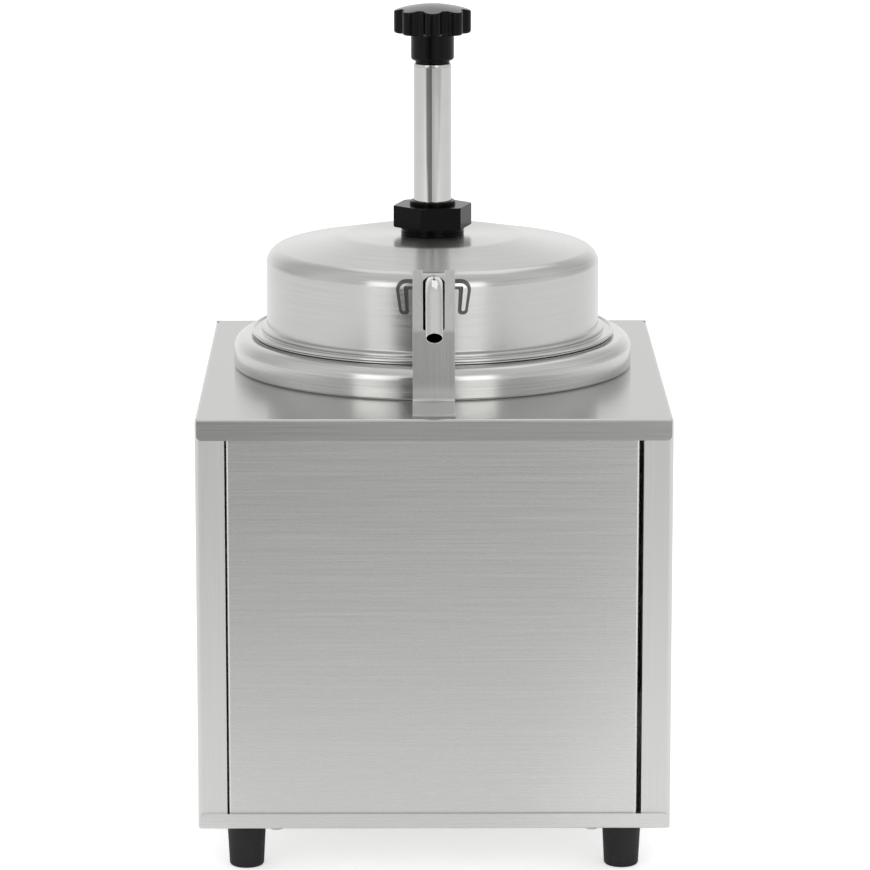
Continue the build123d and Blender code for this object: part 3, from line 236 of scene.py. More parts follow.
def steel(name, lines, tones, gloss, relief, anisotropy=0.0, turn=0.0, spread=None):
    """Stainless steel whose tone, gloss and relief follow its grinding or turning lines.

    A flat sheet spreads its highlights along spread, which lies across its lines.
    """
    finish, tree = new_finish(name)
    pattern = lines(tree)
    wide = add(tree, "MapRange", {"Value": pattern, "From Min": 0.3, "From Max": 0.7})
    tone = add(tree, "MixRGB", {0: wide.outputs[0], 1: linear(tones[0]), 2: linear(tones[1])})
    rough = add(tree, "MapRange", {
        "Value": pattern, "From Min": 0.3, "From Max": 0.7, "To Min": gloss[0], "To Max": gloss[1],
    })
    bump = add(tree, "Bump", {"Strength": relief, "Distance": 0.0002, "Height": pattern})
    shader = add(tree, "BsdfPrincipled", {
        "Base Color": tone.outputs[0], "Metallic": 1.0, "Roughness": rough.outputs[0],
        "Anisotropic": anisotropy, "Anisotropic Rotation": turn, "Normal": bump.outputs[0],
    })
    if spread:
        across = add(tree, "CombineXYZ", dict(enumerate(spread)))
        tree.links.new(across.outputs[0], shader.inputs["Tangent"])
    add(tree, "OutputMaterial", {"Surface": shader.outputs[0]})
    return finish


# AISI 304 sheet, ground to grit 240: the lines run from side to side and spread light up and down.
# Real ones are under 0.1 mm apart, too fine to show, so these and all others here are drawn coarser.
ground_steel = steel(
    "304 sheet, ground across", lambda tree: ground_lines(tree, 0.8, 90.0, "X"),
    ("#B6B6B4", "#C0C0BE"), (0.15, 0.2), 0.05, 0.8, spread=(0, 1, 1),
)
# The same sheet on the sides and columns, toned much lighter than the top as painted light: the lines
# run up and down and spread light sideways.
upright_steel = steel(
    "304 sheet, ground upright", lambda tree: ground_lines(tree, 0.8, 90.0, "Z"),
    ("#E4E4E2", "#EBEBE9"), (0.38, 0.44), 0.04, 0.95, spread=(1, 1, 0),
)
# On the aprons, and on the front and rear faces, the lines run across again. These faces mirror the
# floor, so their steel is toned lighter than the top's: painted light.
apron_steel = steel(
    "304 sheet, ground across, aprons", lambda tree: ground_lines(tree, 0.7, 90.0, "X"),
    ("#D2D2D0", "#DADAD8"), (0.18, 0.23), 0.04, 0.8, spread=(0, 1, 1),
)
panel_steel = steel(
    "304 sheet, ground across, faces", lambda tree: ground_lines(tree, 0.7, 90.0, "X"),
    ("#DCDCDA", "#E3E3E1"), (0.24, 0.3), 0.04, 0.7, spread=(0, 1, 1),
)


def bar(x, y, z):
    """A closed box between three pairs of limits in mm."""
    form = bmesh.new()
    bmesh.ops.create_cube(form, size=1.0)
    for axis, (low, high) in enumerate((x, y, z)):
        middle, length = (low + high) / 2 * MM, (high - low) * MM
        bmesh.ops.scale(form, verts=form.verts, vec=[length if i == axis else 1 for i in range(3)])
        bmesh.ops.translate(form, verts=form.verts, vec=[middle if i == axis else 0 for i in range(3)])
    return form


def rounded(form, pick, radius, segments=5):
    """Rounds the edges for which pick(middle, direction) is true, both in mm."""
    chosen = []
    for edge in form.edges:
        a, b = (v.co / MM for v in edge.verts)
        if pick((a + b) / 2, (b - a).normalized()):
            chosen.append(edge)
    bmesh.ops.bevel(
        form, geom=chosen, offset=radius * MM, offset_type="OFFSET", affect="EDGES",
        segments=segments, profile=0.5, material=-1,
    )
    return form


def joined(*forms):
    """Several forms as one."""
    whole = bmesh.new()
    for form in forms:
        mesh = bpy.data.meshes.new("form")
        form.to_mesh(mesh)
        form.free()
        whole.from_mesh(mesh)
        bpy.data.meshes.remove(mesh)
    return whole


def combined(form, other, operation="DIFFERENCE"):
    """One closed form cut by another, or what the two have in common."""
    objects = []
    for part in (form, other):
        mesh = bpy.data.meshes.new("form")
        part.to_mesh(mesh)
        part.free()
        objects.append(bpy.data.objects.new("form", mesh))
        scene.collection.objects.link(objects[-1])
    cut = objects[0].modifiers.new("Cut", "BOOLEAN")
    cut.object, cut.operation, cut.solver = objects[1], operation, "EXACT"
    left = bmesh.new()
    left.from_object(objects[0], bpy.context.evaluated_depsgraph_get())
    for thing in objects:
        bpy.data.meshes.remove(thing.data)
    return left


def piece(name, form, finish, body, slot, *nodes, sharp=32.0, soften=0.0):
    """Makes the object of a finished form, with its material, its body and the nodes it replaces."""
    mesh = bpy.data.meshes.new(name)
    for face in form.faces:
        face.smooth = True
    form.to_mesh(mesh)
    form.free()
    mesh.materials.append(finish)
    made = bpy.data.objects.new(name, mesh)
    scene.collection.objects.link(made)
    if soften:
        edges = made.modifiers.new("Broken edges", "BEVEL")
        edges.width, edges.segments, edges.limit_method = soften * MM, 2, "ANGLE"
        edges.angle_limit = math.radians(sharp)
    mesh.set_sharp_from_angle(angle=math.radians(sharp))
    flat = made.modifiers.new("Flat faces stay flat", "WEIGHTED_NORMAL")
    flat.keep_sharp = True
    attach(made, body)
    if nodes:
        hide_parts(*nodes)
    return made


def walled(form, wall):
    """Gives an open form of outward faces its wall, inwards."""
    bmesh.ops.solidify(form, geom=form.faces[:], thickness=wall * MM)
    bmesh.ops.recalc_face_normals(form, faces=form.faces)
    return form


half_w, half_d = WIDTH / 2, DEPTH / 2
case = bar((-half_w, half_w), (SHEET - half_d, half_d - SHEET), (FOOT, TOP))
bottom = [f for f in case.faces if f.normal.z < -0.9]
bmesh.ops.delete(case, geom=bottom, context="FACES_ONLY")
rounded(case, lambda at, way: abs(way.z) > 0.9, FOLD)
rounded(case, lambda at, way: abs(way.y) > 0.9 and at.z > TOP - 0.1 and abs(at.x) > half_w - 0.1, FOLD)
for side in (-1, 1):
    edge_x = side * (half_w - COLUMN) * MM
    everything = case.verts[:] + case.edges[:] + case.faces[:]
    bmesh.ops.bisect_plane(case, geom=everything, plane_co=(edge_x, 0, 0), plane_no=(1, 0, 0))
everything = case.verts[:] + case.edges[:] + case.faces[:]
bmesh.ops.bisect_plane(case, geom=everything, plane_co=(0, 0, (TOP - SHEET) * MM), plane_no=(0, 0, 1))
window = [
    f for f in case.faces
    if abs(f.normal.y) > 0.9 and abs(f.calc_center_median().x) < (half_w - COLUMN) * MM
    and f.calc_center_median().z < (TOP - SHEET) * MM
]
bmesh.ops.delete(case, geom=window, context="FACES")
walled(case, SHEET)

hole = bmesh.new()
bmesh.ops.create_cone(
    hole, cap_ends=True, segments=96, radius1=BATH_HOLE * MM, radius2=BATH_HOLE * MM, depth=20 * MM,
    matrix=Matrix.Translation((0, POT_Y * MM, TOP * MM)),
)
case = combined(case, hole)
folds = []
behind_panel = half_d - 19.3
for side in (-1, 1):
    y = sorted((side * half_d, side * (half_d - SHEET)))
    apron = bar((1 - half_w, half_w - 1), y, (TOP - APRON, TOP))
    rounded(apron, lambda at, way: abs(way.y) > 0.9 and at.z < TOP - 5, FOLD)
    rounded(apron, lambda at, way: abs(way.x) > 0.9 and at.z > TOP - 1 and abs(at.y) > half_d - 0.1, 1.2)
    x = sorted((side * (half_w - BOTTOM_FOLD), side * (half_w - SHEET)))
    bottom_fold = bar(x, (-behind_panel, behind_panel), (FOOT + SHEET, FOOT + 2 * SHEET))
    folds += [apron, bottom_fold]
case = joined(case, *folds)
shell = piece("cabinet_shell", case, ground_steel, "cabinet", "cabinet_steel", "outer_wrapper")
shell.data.materials.append(upright_steel)
shell.data.materials.append(apron_steel)
# Each face takes the copy of the one sheet that is toned for how it is lit: painted light and shade.
for face in shell.data.polygons:
    if abs(face.center.y) > (half_d - 1) * MM:
        face.material_index = 2
    elif face.center.z < (TOP - 11) * MM or abs(face.normal.x) > 0.7:
        face.material_index = 1

# ------
# Front panel: a shallow pan of the same sheet behind the apron, its folds turned inwards. It stands
# between the columns with a narrow dark gap, a little nearer to the left one.
PANEL_TOP = TOP - SHEET - 1.5
TRAY = FOOT + SHEET
RETURN = 16.0  # depth of the folds
LEFT_GAP, RIGHT_GAP = 0.8, 2.15


def pan(side, left, right):
    """A pan that closes the front (side -1) or the back (side 1) of the cabinet, open inwards."""
    outer, inner = side * (half_d - SHEET), side * (half_d - SHEET - RETURN)
    form = bar((left, right), sorted((outer, inner)), (TRAY, PANEL_TOP))
    opening = [f for f in form.faces if f.normal.y * side < -0.9]
    bmesh.ops.delete(form, geom=opening, context="FACES_ONLY")
    rounded(form, lambda at, way: abs(way.z) > 0.9 and abs(at.y) > half_d - 5, 1.2)
    rounded(form, lambda at, way: abs(way.x) > 0.9 and abs(at.y) > half_d - 5, 0.5, 2)
    return walled(form, SHEET)


panel = pan(-1, COLUMN + LEFT_GAP - half_w, half_w - COLUMN - RIGHT_GAP)
piece("front_panel_pan", panel, panel_steel, "cabinet", "cabinet_steel", "front_panel")

# ------
# Base tray: the cabinet's floor, turned up in front and behind over the ends of the columns, and
# slotted for air. The panels' lower folds are screwed down on it.
TRAY_FLANGE = 7.7
AIR_SLOTS_X = 27.6


def slot_row(count, pitch, length, width, centre, upright=False):
    """Cutters for a column of round-ended slots, on a level sheet or on an upright one."""
    cutters = []
    for index in range(count):
        step = (index - (count - 1) / 2) * pitch
        x, y, z = centre
        sides = (x - length / 2, x + length / 2)
        if upright:
            cutter = bar(sides, (y - 8, y + 8), (z + step - width / 2, z + step + width / 2))
        else:
            cutter = bar(sides, (y + step - width / 2, y + step + width / 2), (z - 8, z + 8))
        through = 1 if upright else 2
        cutters.append(rounded(cutter, lambda at, way: abs(way[through]) > 0.9, width / 2 - 0.01, 4))
    return joined(*cutters)


tray = bar((SHEET - half_w + 0.25, half_w - SHEET - 0.25), (SHEET - half_d, half_d - SHEET), (FOOT, TRAY))
for x in (-AIR_SLOTS_X, AIR_SLOTS_X):
    tray = combined(tray, slot_row(6, 9.0, 40.0, 3.0, (x, 0, FOOT)))
flanges = []
for side in (-1, 1):
    y = sorted((side * half_d, side * (half_d - SHEET)))
    flange = bar((1 - half_w, half_w - 1), y, (FOOT, FOOT + TRAY_FLANGE))
    rounded(flange, lambda at, way: abs(way.y) > 0.9 and at.z > FOOT + 4, FOLD)
    rounded(flange, lambda at, way: abs(way.x) > 0.9 and at.z < FOOT + 1 and abs(at.y) > half_d - 0.1, 1.2)
    flanges.append(flange)
piece("tray_with_flanges", joined(tray, *flanges), panel_steel, "cabinet", "cabinet_steel", "base_tray")

# ------
# Feet: four tapered feet of black nitrile rubber. Each is recessed from below for the screw that
# holds it to the tray.
FOOT_INSET = 23.3
FOOT_SOLE, FOOT_HEAD = 8.6, 9.85
SCREW_HOLE, SCREW_RECESS, RECESS_DEPTH = 2.75, 5.4, 11.0


def turned(section, centre=(0.0, POT_Y), steps=128):
    """Spins a closed section of (radius, height, rounding) corners round an upright axis."""
    x, y = centre
    form = bmesh.new()
    corners = [form.verts.new(((x + r) * MM, y * MM, z * MM)) for r, z, rounding in section]
    form.faces.new(corners)
    for corner, (r, z, rounding) in zip(corners, section):
        if rounding:
            bmesh.ops.bevel(
                form, geom=[corner], offset=rounding * MM, offset_type="OFFSET", affect="VERTICES",
                segments=4 if rounding < 2 else 8, profile=0.5, material=-1,
            )
    bmesh.ops.delete(form, geom=form.faces[:], context="FACES_ONLY")
    on_axis = [e for e in form.edges if all(abs(v.co.x - x * MM) < 1e-7 for v in e.verts)]
    bmesh.ops.delete(form, geom=on_axis, context="EDGES")
    bmesh.ops.spin(
        form, geom=form.verts[:] + form.edges[:], cent=(x * MM, y * MM, 0), axis=(0, 0, 1),
        angle=math.tau, steps=steps, use_merge=True,
    )
    bmesh.ops.remove_doubles(form, verts=form.verts, dist=1e-6)
    bmesh.ops.recalc_face_normals(form, faces=form.faces)
    return form


def moulded(name, tone, gloss, grain, relief, shine=0.5, coat=0.0):
    """A moulded polymer: one colour through and through, with the fine grain of its mould."""
    finish, tree = new_finish(name)
    place = add(tree, "TexCoord").outputs["Object"]
    skin = add(tree, "TexNoise", {"Vector": place, "Scale": 1 / (grain * MM), "Detail": 2.0}).outputs[0]
    cloud = add(tree, "TexNoise", {"Vector": place, "Scale": 120.0, "Detail": 1.0}).outputs[0]
    colour = add(tree, "MixRGB", {0: cloud, 1: linear(tone[0]), 2: linear(tone[1])})
    rough = add(tree, "MapRange", {"Value": skin, "To Min": gloss[0], "To Max": gloss[1]})
    bump = add(tree, "Bump", {"Strength": relief, "Distance": 0.0002, "Height": skin})
    shader = add(tree, "BsdfPrincipled", {
        "Base Color": colour.outputs[0], "Roughness": rough.outputs[0], "Normal": bump.outputs[0],
        "Specular IOR Level": shine, "Coat Weight": coat, "Coat Roughness": 0.12,
    })
    add(tree, "OutputMaterial", {"Surface": shader.outputs[0]})
    return finish


# Moulded rubber: black and dull, with a soft grain.
foot_rubber = moulded("nitrile rubber, moulded", ("#0B0B0C", "#101011"), (0.55, 0.7), 0.9, 0.25)
corners = [(x * (half_w - FOOT_INSET), y * (half_d - FOOT_INSET)) for x in (-1, 1) for y in (-1, 1)]
foot_section = [
    (SCREW_RECESS, 0, 0.4), (FOOT_SOLE, 0, 1.5), (FOOT_HEAD, FOOT, 0.2), (SCREW_HOLE, FOOT, 0),
    (SCREW_HOLE, RECESS_DEPTH, 0), (SCREW_RECESS, RECESS_DEPTH, 0.3),
]
feet = joined(*[turned(foot_section, corner, 48) for corner in corners])
piece("rubber_feet", feet, foot_rubber, "cabinet", "foot_rubber", "feet")

# ------
# Base screws: zinc-plated pan heads with a cross recess, up through the tray. Two of them show
# under the front edge.
BASE_SCREW_X, BASE_SCREW_INSET = 78.5, 10.0
HEAD, HEAD_HEIGHT, SHANK, SHANK_LENGTH = 3.7, 2.6, 2.0, 7.7
RECESS_LONG, RECESS_WIDE = 2.0, 0.5


def plain_metal(name, tone, gloss, blotch=6.0, relief=0.03):
    """A plain metal surface with faint clouds in its tone and gloss, as plating and casting have."""
    finish, tree = new_finish(name)
    place = add(tree, "TexCoord").outputs["Object"]
    cloud = add(tree, "TexNoise", {"Vector": place, "Scale": 1 / (blotch * MM), "Detail": 4.0}).outputs[0]
    colour = add(tree, "MixRGB", {0: cloud, 1: linear(tone[0]), 2: linear(tone[1])})
    rough = add(tree, "MapRange", {"Value": cloud, "To Min": gloss[0], "To Max": gloss[1]})
    bump = add(tree, "Bump", {"Strength": relief, "Distance": 0.0001, "Height": cloud})
    shader = add(tree, "BsdfPrincipled", {
        "Base Color": colour.outputs[0], "Metallic": 1.0, "Roughness": rough.outputs[0],
        "Normal": bump.outputs[0],
    })
    add(tree, "OutputMaterial", {"Surface": shader.outputs[0]})
    return finish


# Bright zinc plate: a bluish white metal with faint clouds.
zinc = plain_metal("zinc plate, bright", ("#B9BBBD", "#D0D1D2"), (0.22, 0.38))
base_screws = []
for x in (-BASE_SCREW_X, BASE_SCREW_X):
    for y in (BASE_SCREW_INSET - half_d, half_d - BASE_SCREW_INSET):
        screw = turned([
            (0, FOOT - HEAD_HEIGHT, 0), (HEAD, FOOT - HEAD_HEIGHT, 1.1), (HEAD, FOOT, 0), (SHANK, FOOT, 0),
            (SHANK, FOOT + SHANK_LENGTH, 0.4), (0, FOOT + SHANK_LENGTH, 0),
        ], (x, y), 32)
        for w, d in ((RECESS_LONG, RECESS_WIDE), (RECESS_WIDE, RECESS_LONG)):
            screw = combined(screw, bar((x - w, x + w), (y - d, y + d), (FOOT - 3, FOOT - 1.2)))
        base_screws.append(screw)
piece("cross_head_screws", joined(*base_screws), zinc, "cabinet", "fastener_zinc", "base_screws", sharp=30)


def dress(finish, *nodes):
    """Gives CAD nodes that keep their own shape their finish."""
    for name in nodes:
        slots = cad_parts[name].data.materials
        slots.clear()
        slots.append(finish)


dress(zinc, "foot_screws", "foot_nuts", "base_nuts")

# ------
# Water bath: drawn from 1.2 mm stainless steel and welded into a spun collar, which rises 16 mm
# above the top sheet, rolls over and comes down outside as the wide ring.
COLLAR, COLLAR_RISE = 103.0, 16.2
BATH, BATH_WALL, BATH_FLOOR = 88.0, 1.2, 66.8


def turned_lines(tree, across=0.9):
    """Turning lines of a spun piece: noise that follows circles round the pot's axis."""
    place = add(tree, "TexCoord").outputs["Object"]
    centred = add(tree, "Mapping", {"Vector": place, "Location": (0, -POT_Y * MM, 0)}).outputs[0]
    flat = add(tree, "VectorMath", {0: centred, 1: (1, 1, 0)}, operation="MULTIPLY").outputs[0]
    radius = add(tree, "VectorMath", {0: flat}, operation="LENGTH").outputs["Value"]
    outwards = add(tree, "VectorMath", {0: flat}, operation="NORMALIZE").outputs[0]
    spacing = 1 / (across * MM)
    height = add(tree, "VectorMath", {0: centred, 1: (0, 0, spacing)}, operation="MULTIPLY").outputs[0]
    around = add(
        tree, "VectorMath", {0: outwards, 1: (1.6, 1.6, 0), 2: height}, operation="MULTIPLY_ADD",
    ).outputs[0]
    ring = add(tree, "Math", {0: radius, 1: spacing}, operation="MULTIPLY").outputs[0]
    lines = add(tree, "TexNoise", {
        "Vector": around, "W": ring, "Scale": 1.0, "Detail": 3.0, "Roughness": 0.65,
    }, noise_dimensions="4D")
    return lines.outputs[0]


# Spun 304 sheet, ground round on the lathe: the lines run round, so light stands in upright fans.
spun_steel = steel(
    "304 sheet, spun and ground round", turned_lines, ("#C8C8C6", "#D8D8D6"), (0.18, 0.26), 0.1,
    anisotropy=0.6, turn=0.25,
)
collar_top = TOP + COLLAR_RISE
collar_section = [
    (COLLAR - 0.7, TOP, 0.2), (COLLAR, TOP + 0.9, 0.3), (COLLAR, collar_top, 6.5), (BATH, collar_top, 3),
    (BATH, TOP, 0), (BATH + BATH_WALL, TOP, 0), (BATH + BATH_WALL, collar_top - BATH_WALL, 1.8),
    (COLLAR - BATH_WALL, collar_top - BATH_WALL, 5.3), (COLLAR - BATH_WALL, TOP, 0),
]
piece("spun_collar", turned(collar_section, steps=192), spun_steel, "cabinet", "bath_steel", "bath_collar")
bath_section = [
    (BATH, TOP, 0), (BATH, BATH_FLOOR + BATH_WALL, 12), (0, BATH_FLOOR + BATH_WALL, 0), (0, BATH_FLOOR, 0),
    (BATH + BATH_WALL, BATH_FLOOR, 13), (BATH + BATH_WALL, TOP, 0),
]
piece("drawn_water_bath", turned(bath_section, steps=160), spun_steel, "cabinet", "bath_steel", "water_bath")

# ------
# Heater, out of sight under the bath: an aluminium plate, a sheathed ring element, and the pressed
# plate that one nut pulls up against them.
# Milled aluminium: a pale, half-dull metal.
aluminium = plain_metal("6061 aluminium, milled", ("#C8C9CA", "#DADBDC"), (0.3, 0.42))
# Nickel alloy that has been red hot: brown-grey, dull and blotched.
sheath = plain_metal("nickel alloy sheath, heat tinted", ("#5E564D", "#7C7368"), (0.4, 0.55), 14.0)
dress(aluminium, "heater_plate")
dress(sheath, "heating_element")
dress(zinc, "clamp_plate", "clamp_nut", "heater_stud")

# ------
# Crock: a pot deep-drawn from 0.8 mm stainless steel. It hangs in the bath by its rolled-out rim,
# which lies on the collar, and lifts out with the topping in it.
RIM = TOP + COLLAR_RISE + 0.3
CROCK_RIM, CROCK, CROCK_WALL, CROCK_FLOOR = 93.0, 83.2, 0.8, 93.0
# Deep-drawn 304 with a satin finish: fine rings and a soft, broad shine.
crock_steel = steel(
    "304 sheet, deep drawn, satin inside", lambda tree: turned_lines(tree, 1.4), ("#CDCDCB", "#DBDBD9"),
    (0.22, 0.3), 0.08, anisotropy=0.4, turn=0.25,
)
crock_section = [
    (CROCK_RIM, RIM, 0.2), (CROCK + CROCK_WALL, RIM, 2), (CROCK + CROCK_WALL, CROCK_FLOOR, 10),
    (0, CROCK_FLOOR, 0), (0, CROCK_FLOOR + CROCK_WALL, 0), (CROCK, CROCK_FLOOR + CROCK_WALL, 9.2),
    (CROCK, RIM + CROCK_WALL, 2.8), (CROCK_RIM, RIM + CROCK_WALL, 0.2),
]
piece("drawn_crock", turned(crock_section, steps=160), crock_steel, "crock", "crock_steel", "crock")

# ------
# Lid: spun stainless steel with a hemmed flange, a small step above it, an upright wall and a top
# that slopes up to a flat round the pump. A round-ended slot in front lets the spout out.
LID = RIM + CROCK_WALL + 0.3
LID_TOP = TOP + 68.0
SHOULDER = TOP + 60.3
FLANGE, HEM, STEP, LID_RADIUS, LID_FLAT, LID_WALL, PUMP_HOLE = 94.0, 92.2, 88.6, 86.0, 46.0, 0.8, 12.05
lid_section = [
    (FLANGE, LID, 0.4), (FLANGE, LID + 1.5, 0.7), (HEM, LID + 1.5, 0.7), (HEM, LID + LID_WALL, 0),
    (STEP, LID + LID_WALL, 0.5), (STEP, LID + 3.0, 0.7), (LID_RADIUS, LID + 3.8, 0.6),
    (LID_RADIUS, SHOULDER, 6.6), (LID_FLAT, LID_TOP, 2), (PUMP_HOLE, LID_TOP, 0),
    (PUMP_HOLE, LID_TOP - LID_WALL, 0), (LID_FLAT, LID_TOP - LID_WALL, 2),
    (LID_RADIUS - LID_WALL, SHOULDER - 0.6, 6.0), (LID_RADIUS - LID_WALL, LID + LID_WALL, 0.3),
    (HEM, LID, 0),
]
dome = turned(lid_section, steps=224)
SPOUT_SLOT, SLOT_LOW, SLOT_HIGH = 7.0, TOP + 31, TOP + 60
opening = bar((-SPOUT_SLOT, SPOUT_SLOT), (POT_Y - 95, POT_Y - 60), (SLOT_LOW, SLOT_HIGH))
rounded(opening, lambda at, way: abs(way.y) > 0.9, SPOUT_SLOT - 0.01, 8)
dome = combined(dome, opening)
# The same spinning as the collar's, a little more even and duller.
lid_steel = steel(
    "304 sheet, spun, ground round, lid", turned_lines, ("#C4C4C2", "#D1D1CF"), (0.19, 0.27), 0.06,
    anisotropy=0.7, turn=0.25,
)
piece("spun_lid", dome, lid_steel, "lid_pump", "lid_steel", "lid_dome")

# ------
# Ears: two hooks pressed from steel strip and welded to the lid's wall, one on each side of the
# spout. A dark line is painted round them as the shadow at their edges.
SPOUT_SIDE, HOOK_TOP, HOOK_FOOT = 7.25, 58.4, 40.7


def outline(points, plane, low, high):
    """A closed outline of (across, height, rounding) corners, drawn out along Y or X."""
    form = bmesh.new()
    along_y = plane == "XZ"
    places = [(a, low, b) if along_y else (low, a, b) for a, b, rounding in points]
    corners = [form.verts.new(Vector(place) * MM) for place in places]
    form.faces.new(corners)
    for corner, (a, b, rounding) in zip(corners, points):
        if rounding:
            bmesh.ops.bevel(
                form, geom=[corner], offset=rounding * MM, offset_type="OFFSET", affect="VERTICES",
                segments=5, profile=0.5, material=-1,
            )
    drawn = bmesh.ops.extrude_face_region(form, geom=form.faces[:])
    moved = [g for g in drawn["geom"] if isinstance(g, bmesh.types.BMVert)]
    step = (high - low) * MM
    bmesh.ops.translate(form, verts=moved, vec=(0, step, 0) if along_y else (step, 0, 0))
    bmesh.ops.recalc_face_normals(form, faces=form.faces)
    return form


def ears(shape, proud):
    """Both ears: an outline cut from a skin that stands proud of the lid's wall and shoulder."""
    pair = []
    for side in (-1, 1):
        prism = outline([(side * x, TOP + z, r) for x, z, r in shape], "XZ", POT_Y - 92, POT_Y - 60)
        skin = turned([
            (LID_RADIUS + 0.05, TOP + 35, 0), (LID_RADIUS + proud, TOP + 35, 0),
            (LID_RADIUS + proud, SHOULDER + proud, 6.6 + proud), (60, TOP + 64 + proud, 0),
            (60, TOP + 62, 0), (LID_RADIUS + 0.05, SHOULDER, 6.6),
        ], steps=224)
        pair.append(combined(prism, skin, "INTERSECT"))
    return joined(*pair)


shadow_line_outline = [
    (SPOUT_SIDE, HOOK_TOP, 0.4), (19.6, HOOK_TOP, 6.0), (16.9, HOOK_FOOT, 1.8), (12.4, HOOK_FOOT, 1.6),
    (12.9, 53.6, 1.0), (SPOUT_SIDE, 53.6, 0.4),
]
hook = [
    (SPOUT_SIDE + 0.05, HOOK_TOP - 1.7, 0.3), (17.6, HOOK_TOP - 1.7, 4.2), (15.7, HOOK_FOOT + 1.9, 0.9),
    (13.9, HOOK_FOOT + 1.9, 0.8), (14.9, 55.2, 0.8), (SPOUT_SIDE + 0.05, 55.2, 0.3),
]
# A dull, dark brown-grey line round each hook: painted shadow along its edge.
painted_shadow_line = plain_metal("dark line round the hooks, painted shadow", ("#565452", "#6E6C69"), (0.3, 0.42), 2.0)
# The dark skin under each hook shows round it as a painted shadow line.
piece("ear_painted_shadow_lines", ears(shadow_line_outline, 0.8), painted_shadow_line, "lid_pump", "lid_steel", soften=0.3)
# Pressed and tumbled strip: soft, bright edges and short faint lines.
pressed_steel = steel(
    "304 strip, pressed, tumbled", lambda tree: ground_lines(tree, 0.9, 12.0, "X"),
    ("#D0D0CE", "#DCDCDA"), (0.16, 0.24), 0.06,
)
piece("hooked_ears", ears(hook, 1.8), pressed_steel, "lid_pump", "lid_steel", "spout_ears", soften=0.55)

# ------
# Spout fork: a 1.5 mm strip bent up from the top sheet, leaning back above its fold, and slotted
# there so that its two prongs stand beside the spout.
FORK = POT_Y - 109.5
FORK_FLANGE, FORK_FOLD, STRIP, STRIP_WIDTH = 35.5, TOP + 37.3, 1.5, 21.0
FORK_SLOT = 10.8
fork_section = [
    (FORK - FORK_FLANGE, TOP, 0.3), (FORK, TOP, 3.0), (FORK, FORK_FOLD, 1.5), (FORK + 4.8, TOP + 66.6, 0.2),
    (FORK + 4.8 - STRIP, TOP + 66.8, 0.2), (FORK - STRIP, FORK_FOLD, 1.2), (FORK - STRIP, TOP + STRIP, 1.5),
    (FORK - FORK_FLANGE, TOP + STRIP, 0.3),
]
fork = outline(fork_section, "YZ", -STRIP_WIDTH / 2, STRIP_WIDTH / 2)
gap = bar((-FORK_SLOT / 2, FORK_SLOT / 2), (FORK - 4, FORK + 9), (FORK_FOLD, TOP + 70))
rounded(gap, lambda at, way: abs(way.y) > 0.9 and at.z < TOP + 40, 1.0)
# Strip ground along its length: faint upright lines and a calm, pale grey.
fork_steel = steel(
    "304 strip, ground along", lambda tree: ground_lines(tree, 0.9, 60.0, "Z"),
    ("#DADAD8", "#E0E0DE"), (0.22, 0.27), 0.03, 0.5, spread=(0, 1, 1),
)
piece("forked_strip", combined(fork, gap), fork_steel, "cabinet", "fork_steel", "spout_fork", soften=0.2)

# ------
# Discharge tube: one polished tube of 8.6 mm. It rises in the crock, bends over and climbs out by
# the lid's slot at 22 degrees, and ends in the open spout, which points down by 41 degrees.
TUBE, TUBE_WALL, BEND, SPOUT = 4.3, 0.5, 18.0, 25.4
RISER_Y, RISER_FOOT = POT_Y - 26.0, 127.0
OUTLET = Vector((0, POT_Y - 160.0, TOP + 42.3))
CLIMB, DROP = 22.0, 41.0
climbing, falling = (
    Vector((0, -math.cos(math.radians(angle)), math.sin(math.radians(angle)))) for angle in (CLIMB, -DROP)
)
before_spout = BEND * math.tan(math.radians(CLIMB + DROP) / 2)
elbow = OUTLET - falling * (SPOUT + before_spout)
corner = elbow + climbing * ((elbow.y - RISER_Y) / -climbing.y)
before_run = BEND * math.tan(math.radians(90 - CLIMB) / 2)
tube = bmesh.new()
bmesh.ops.create_circle(
    tube, segments=40, radius=TUBE * MM, matrix=Matrix.Translation((0, RISER_Y * MM, RISER_FOOT * MM)),
)
rim = tube.edges[:]


def run_on(form, rim, vector):
    """Draws a tube's open rim out along a straight run."""
    grown = bmesh.ops.extrude_edge_only(form, edges=rim)["geom"]
    verts = [g for g in grown if isinstance(g, bmesh.types.BMVert)]
    bmesh.ops.translate(form, verts=verts, vec=[v * MM for v in vector])
    return [g for g in grown if isinstance(g, bmesh.types.BMEdge)]


def bend_on(form, rim, centre, degrees, steps):
    """Takes a tube's open rim round a bend that lies in the upright middle plane."""
    ends = list({v for e in rim for v in e.verts})
    turned_rim = bmesh.ops.spin(
        form, geom=ends + rim, cent=[c * MM for c in centre], axis=(1, 0, 0),
        angle=math.radians(degrees), steps=steps, use_merge=False, use_duplicate=False,
    )["geom_last"]
    return [g for g in turned_rim if isinstance(g, bmesh.types.BMEdge)]


riser_end = corner - Vector((0, 0, before_run))
rim = run_on(tube, rim, (0, 0, riser_end.z - RISER_FOOT))
rim = bend_on(tube, rim, riser_end - Vector((0, BEND, 0)), 90 - CLIMB, 12)
run_end = elbow - climbing * before_spout
rim = run_on(tube, rim, run_end - (corner + climbing * before_run))
inwards = Vector((0, -climbing.z, climbing.y)) * BEND
rim = bend_on(tube, rim, run_end + inwards, CLIMB + DROP, 12)
rim = run_on(tube, rim, falling * SPOUT)
bmesh.ops.remove_doubles(tube, verts=tube.verts, dist=1e-6)
bmesh.ops.recalc_face_normals(tube, faces=tube.faces)
walled(tube, TUBE_WALL)
# Polished tube: nearly a mirror, with faint lines from the polishing belt.
polished = steel(
    "316 tube, polished", lambda tree: ground_lines(tree, 0.5, 20.0, "Y"),
    ("#D4D4D2", "#DEDEDC"), (0.06, 0.12), 0.03,
)
piece("bent_spout_tube", tube, polished, "lid_pump", "tube_steel", "discharge_tube", soften=0.15)

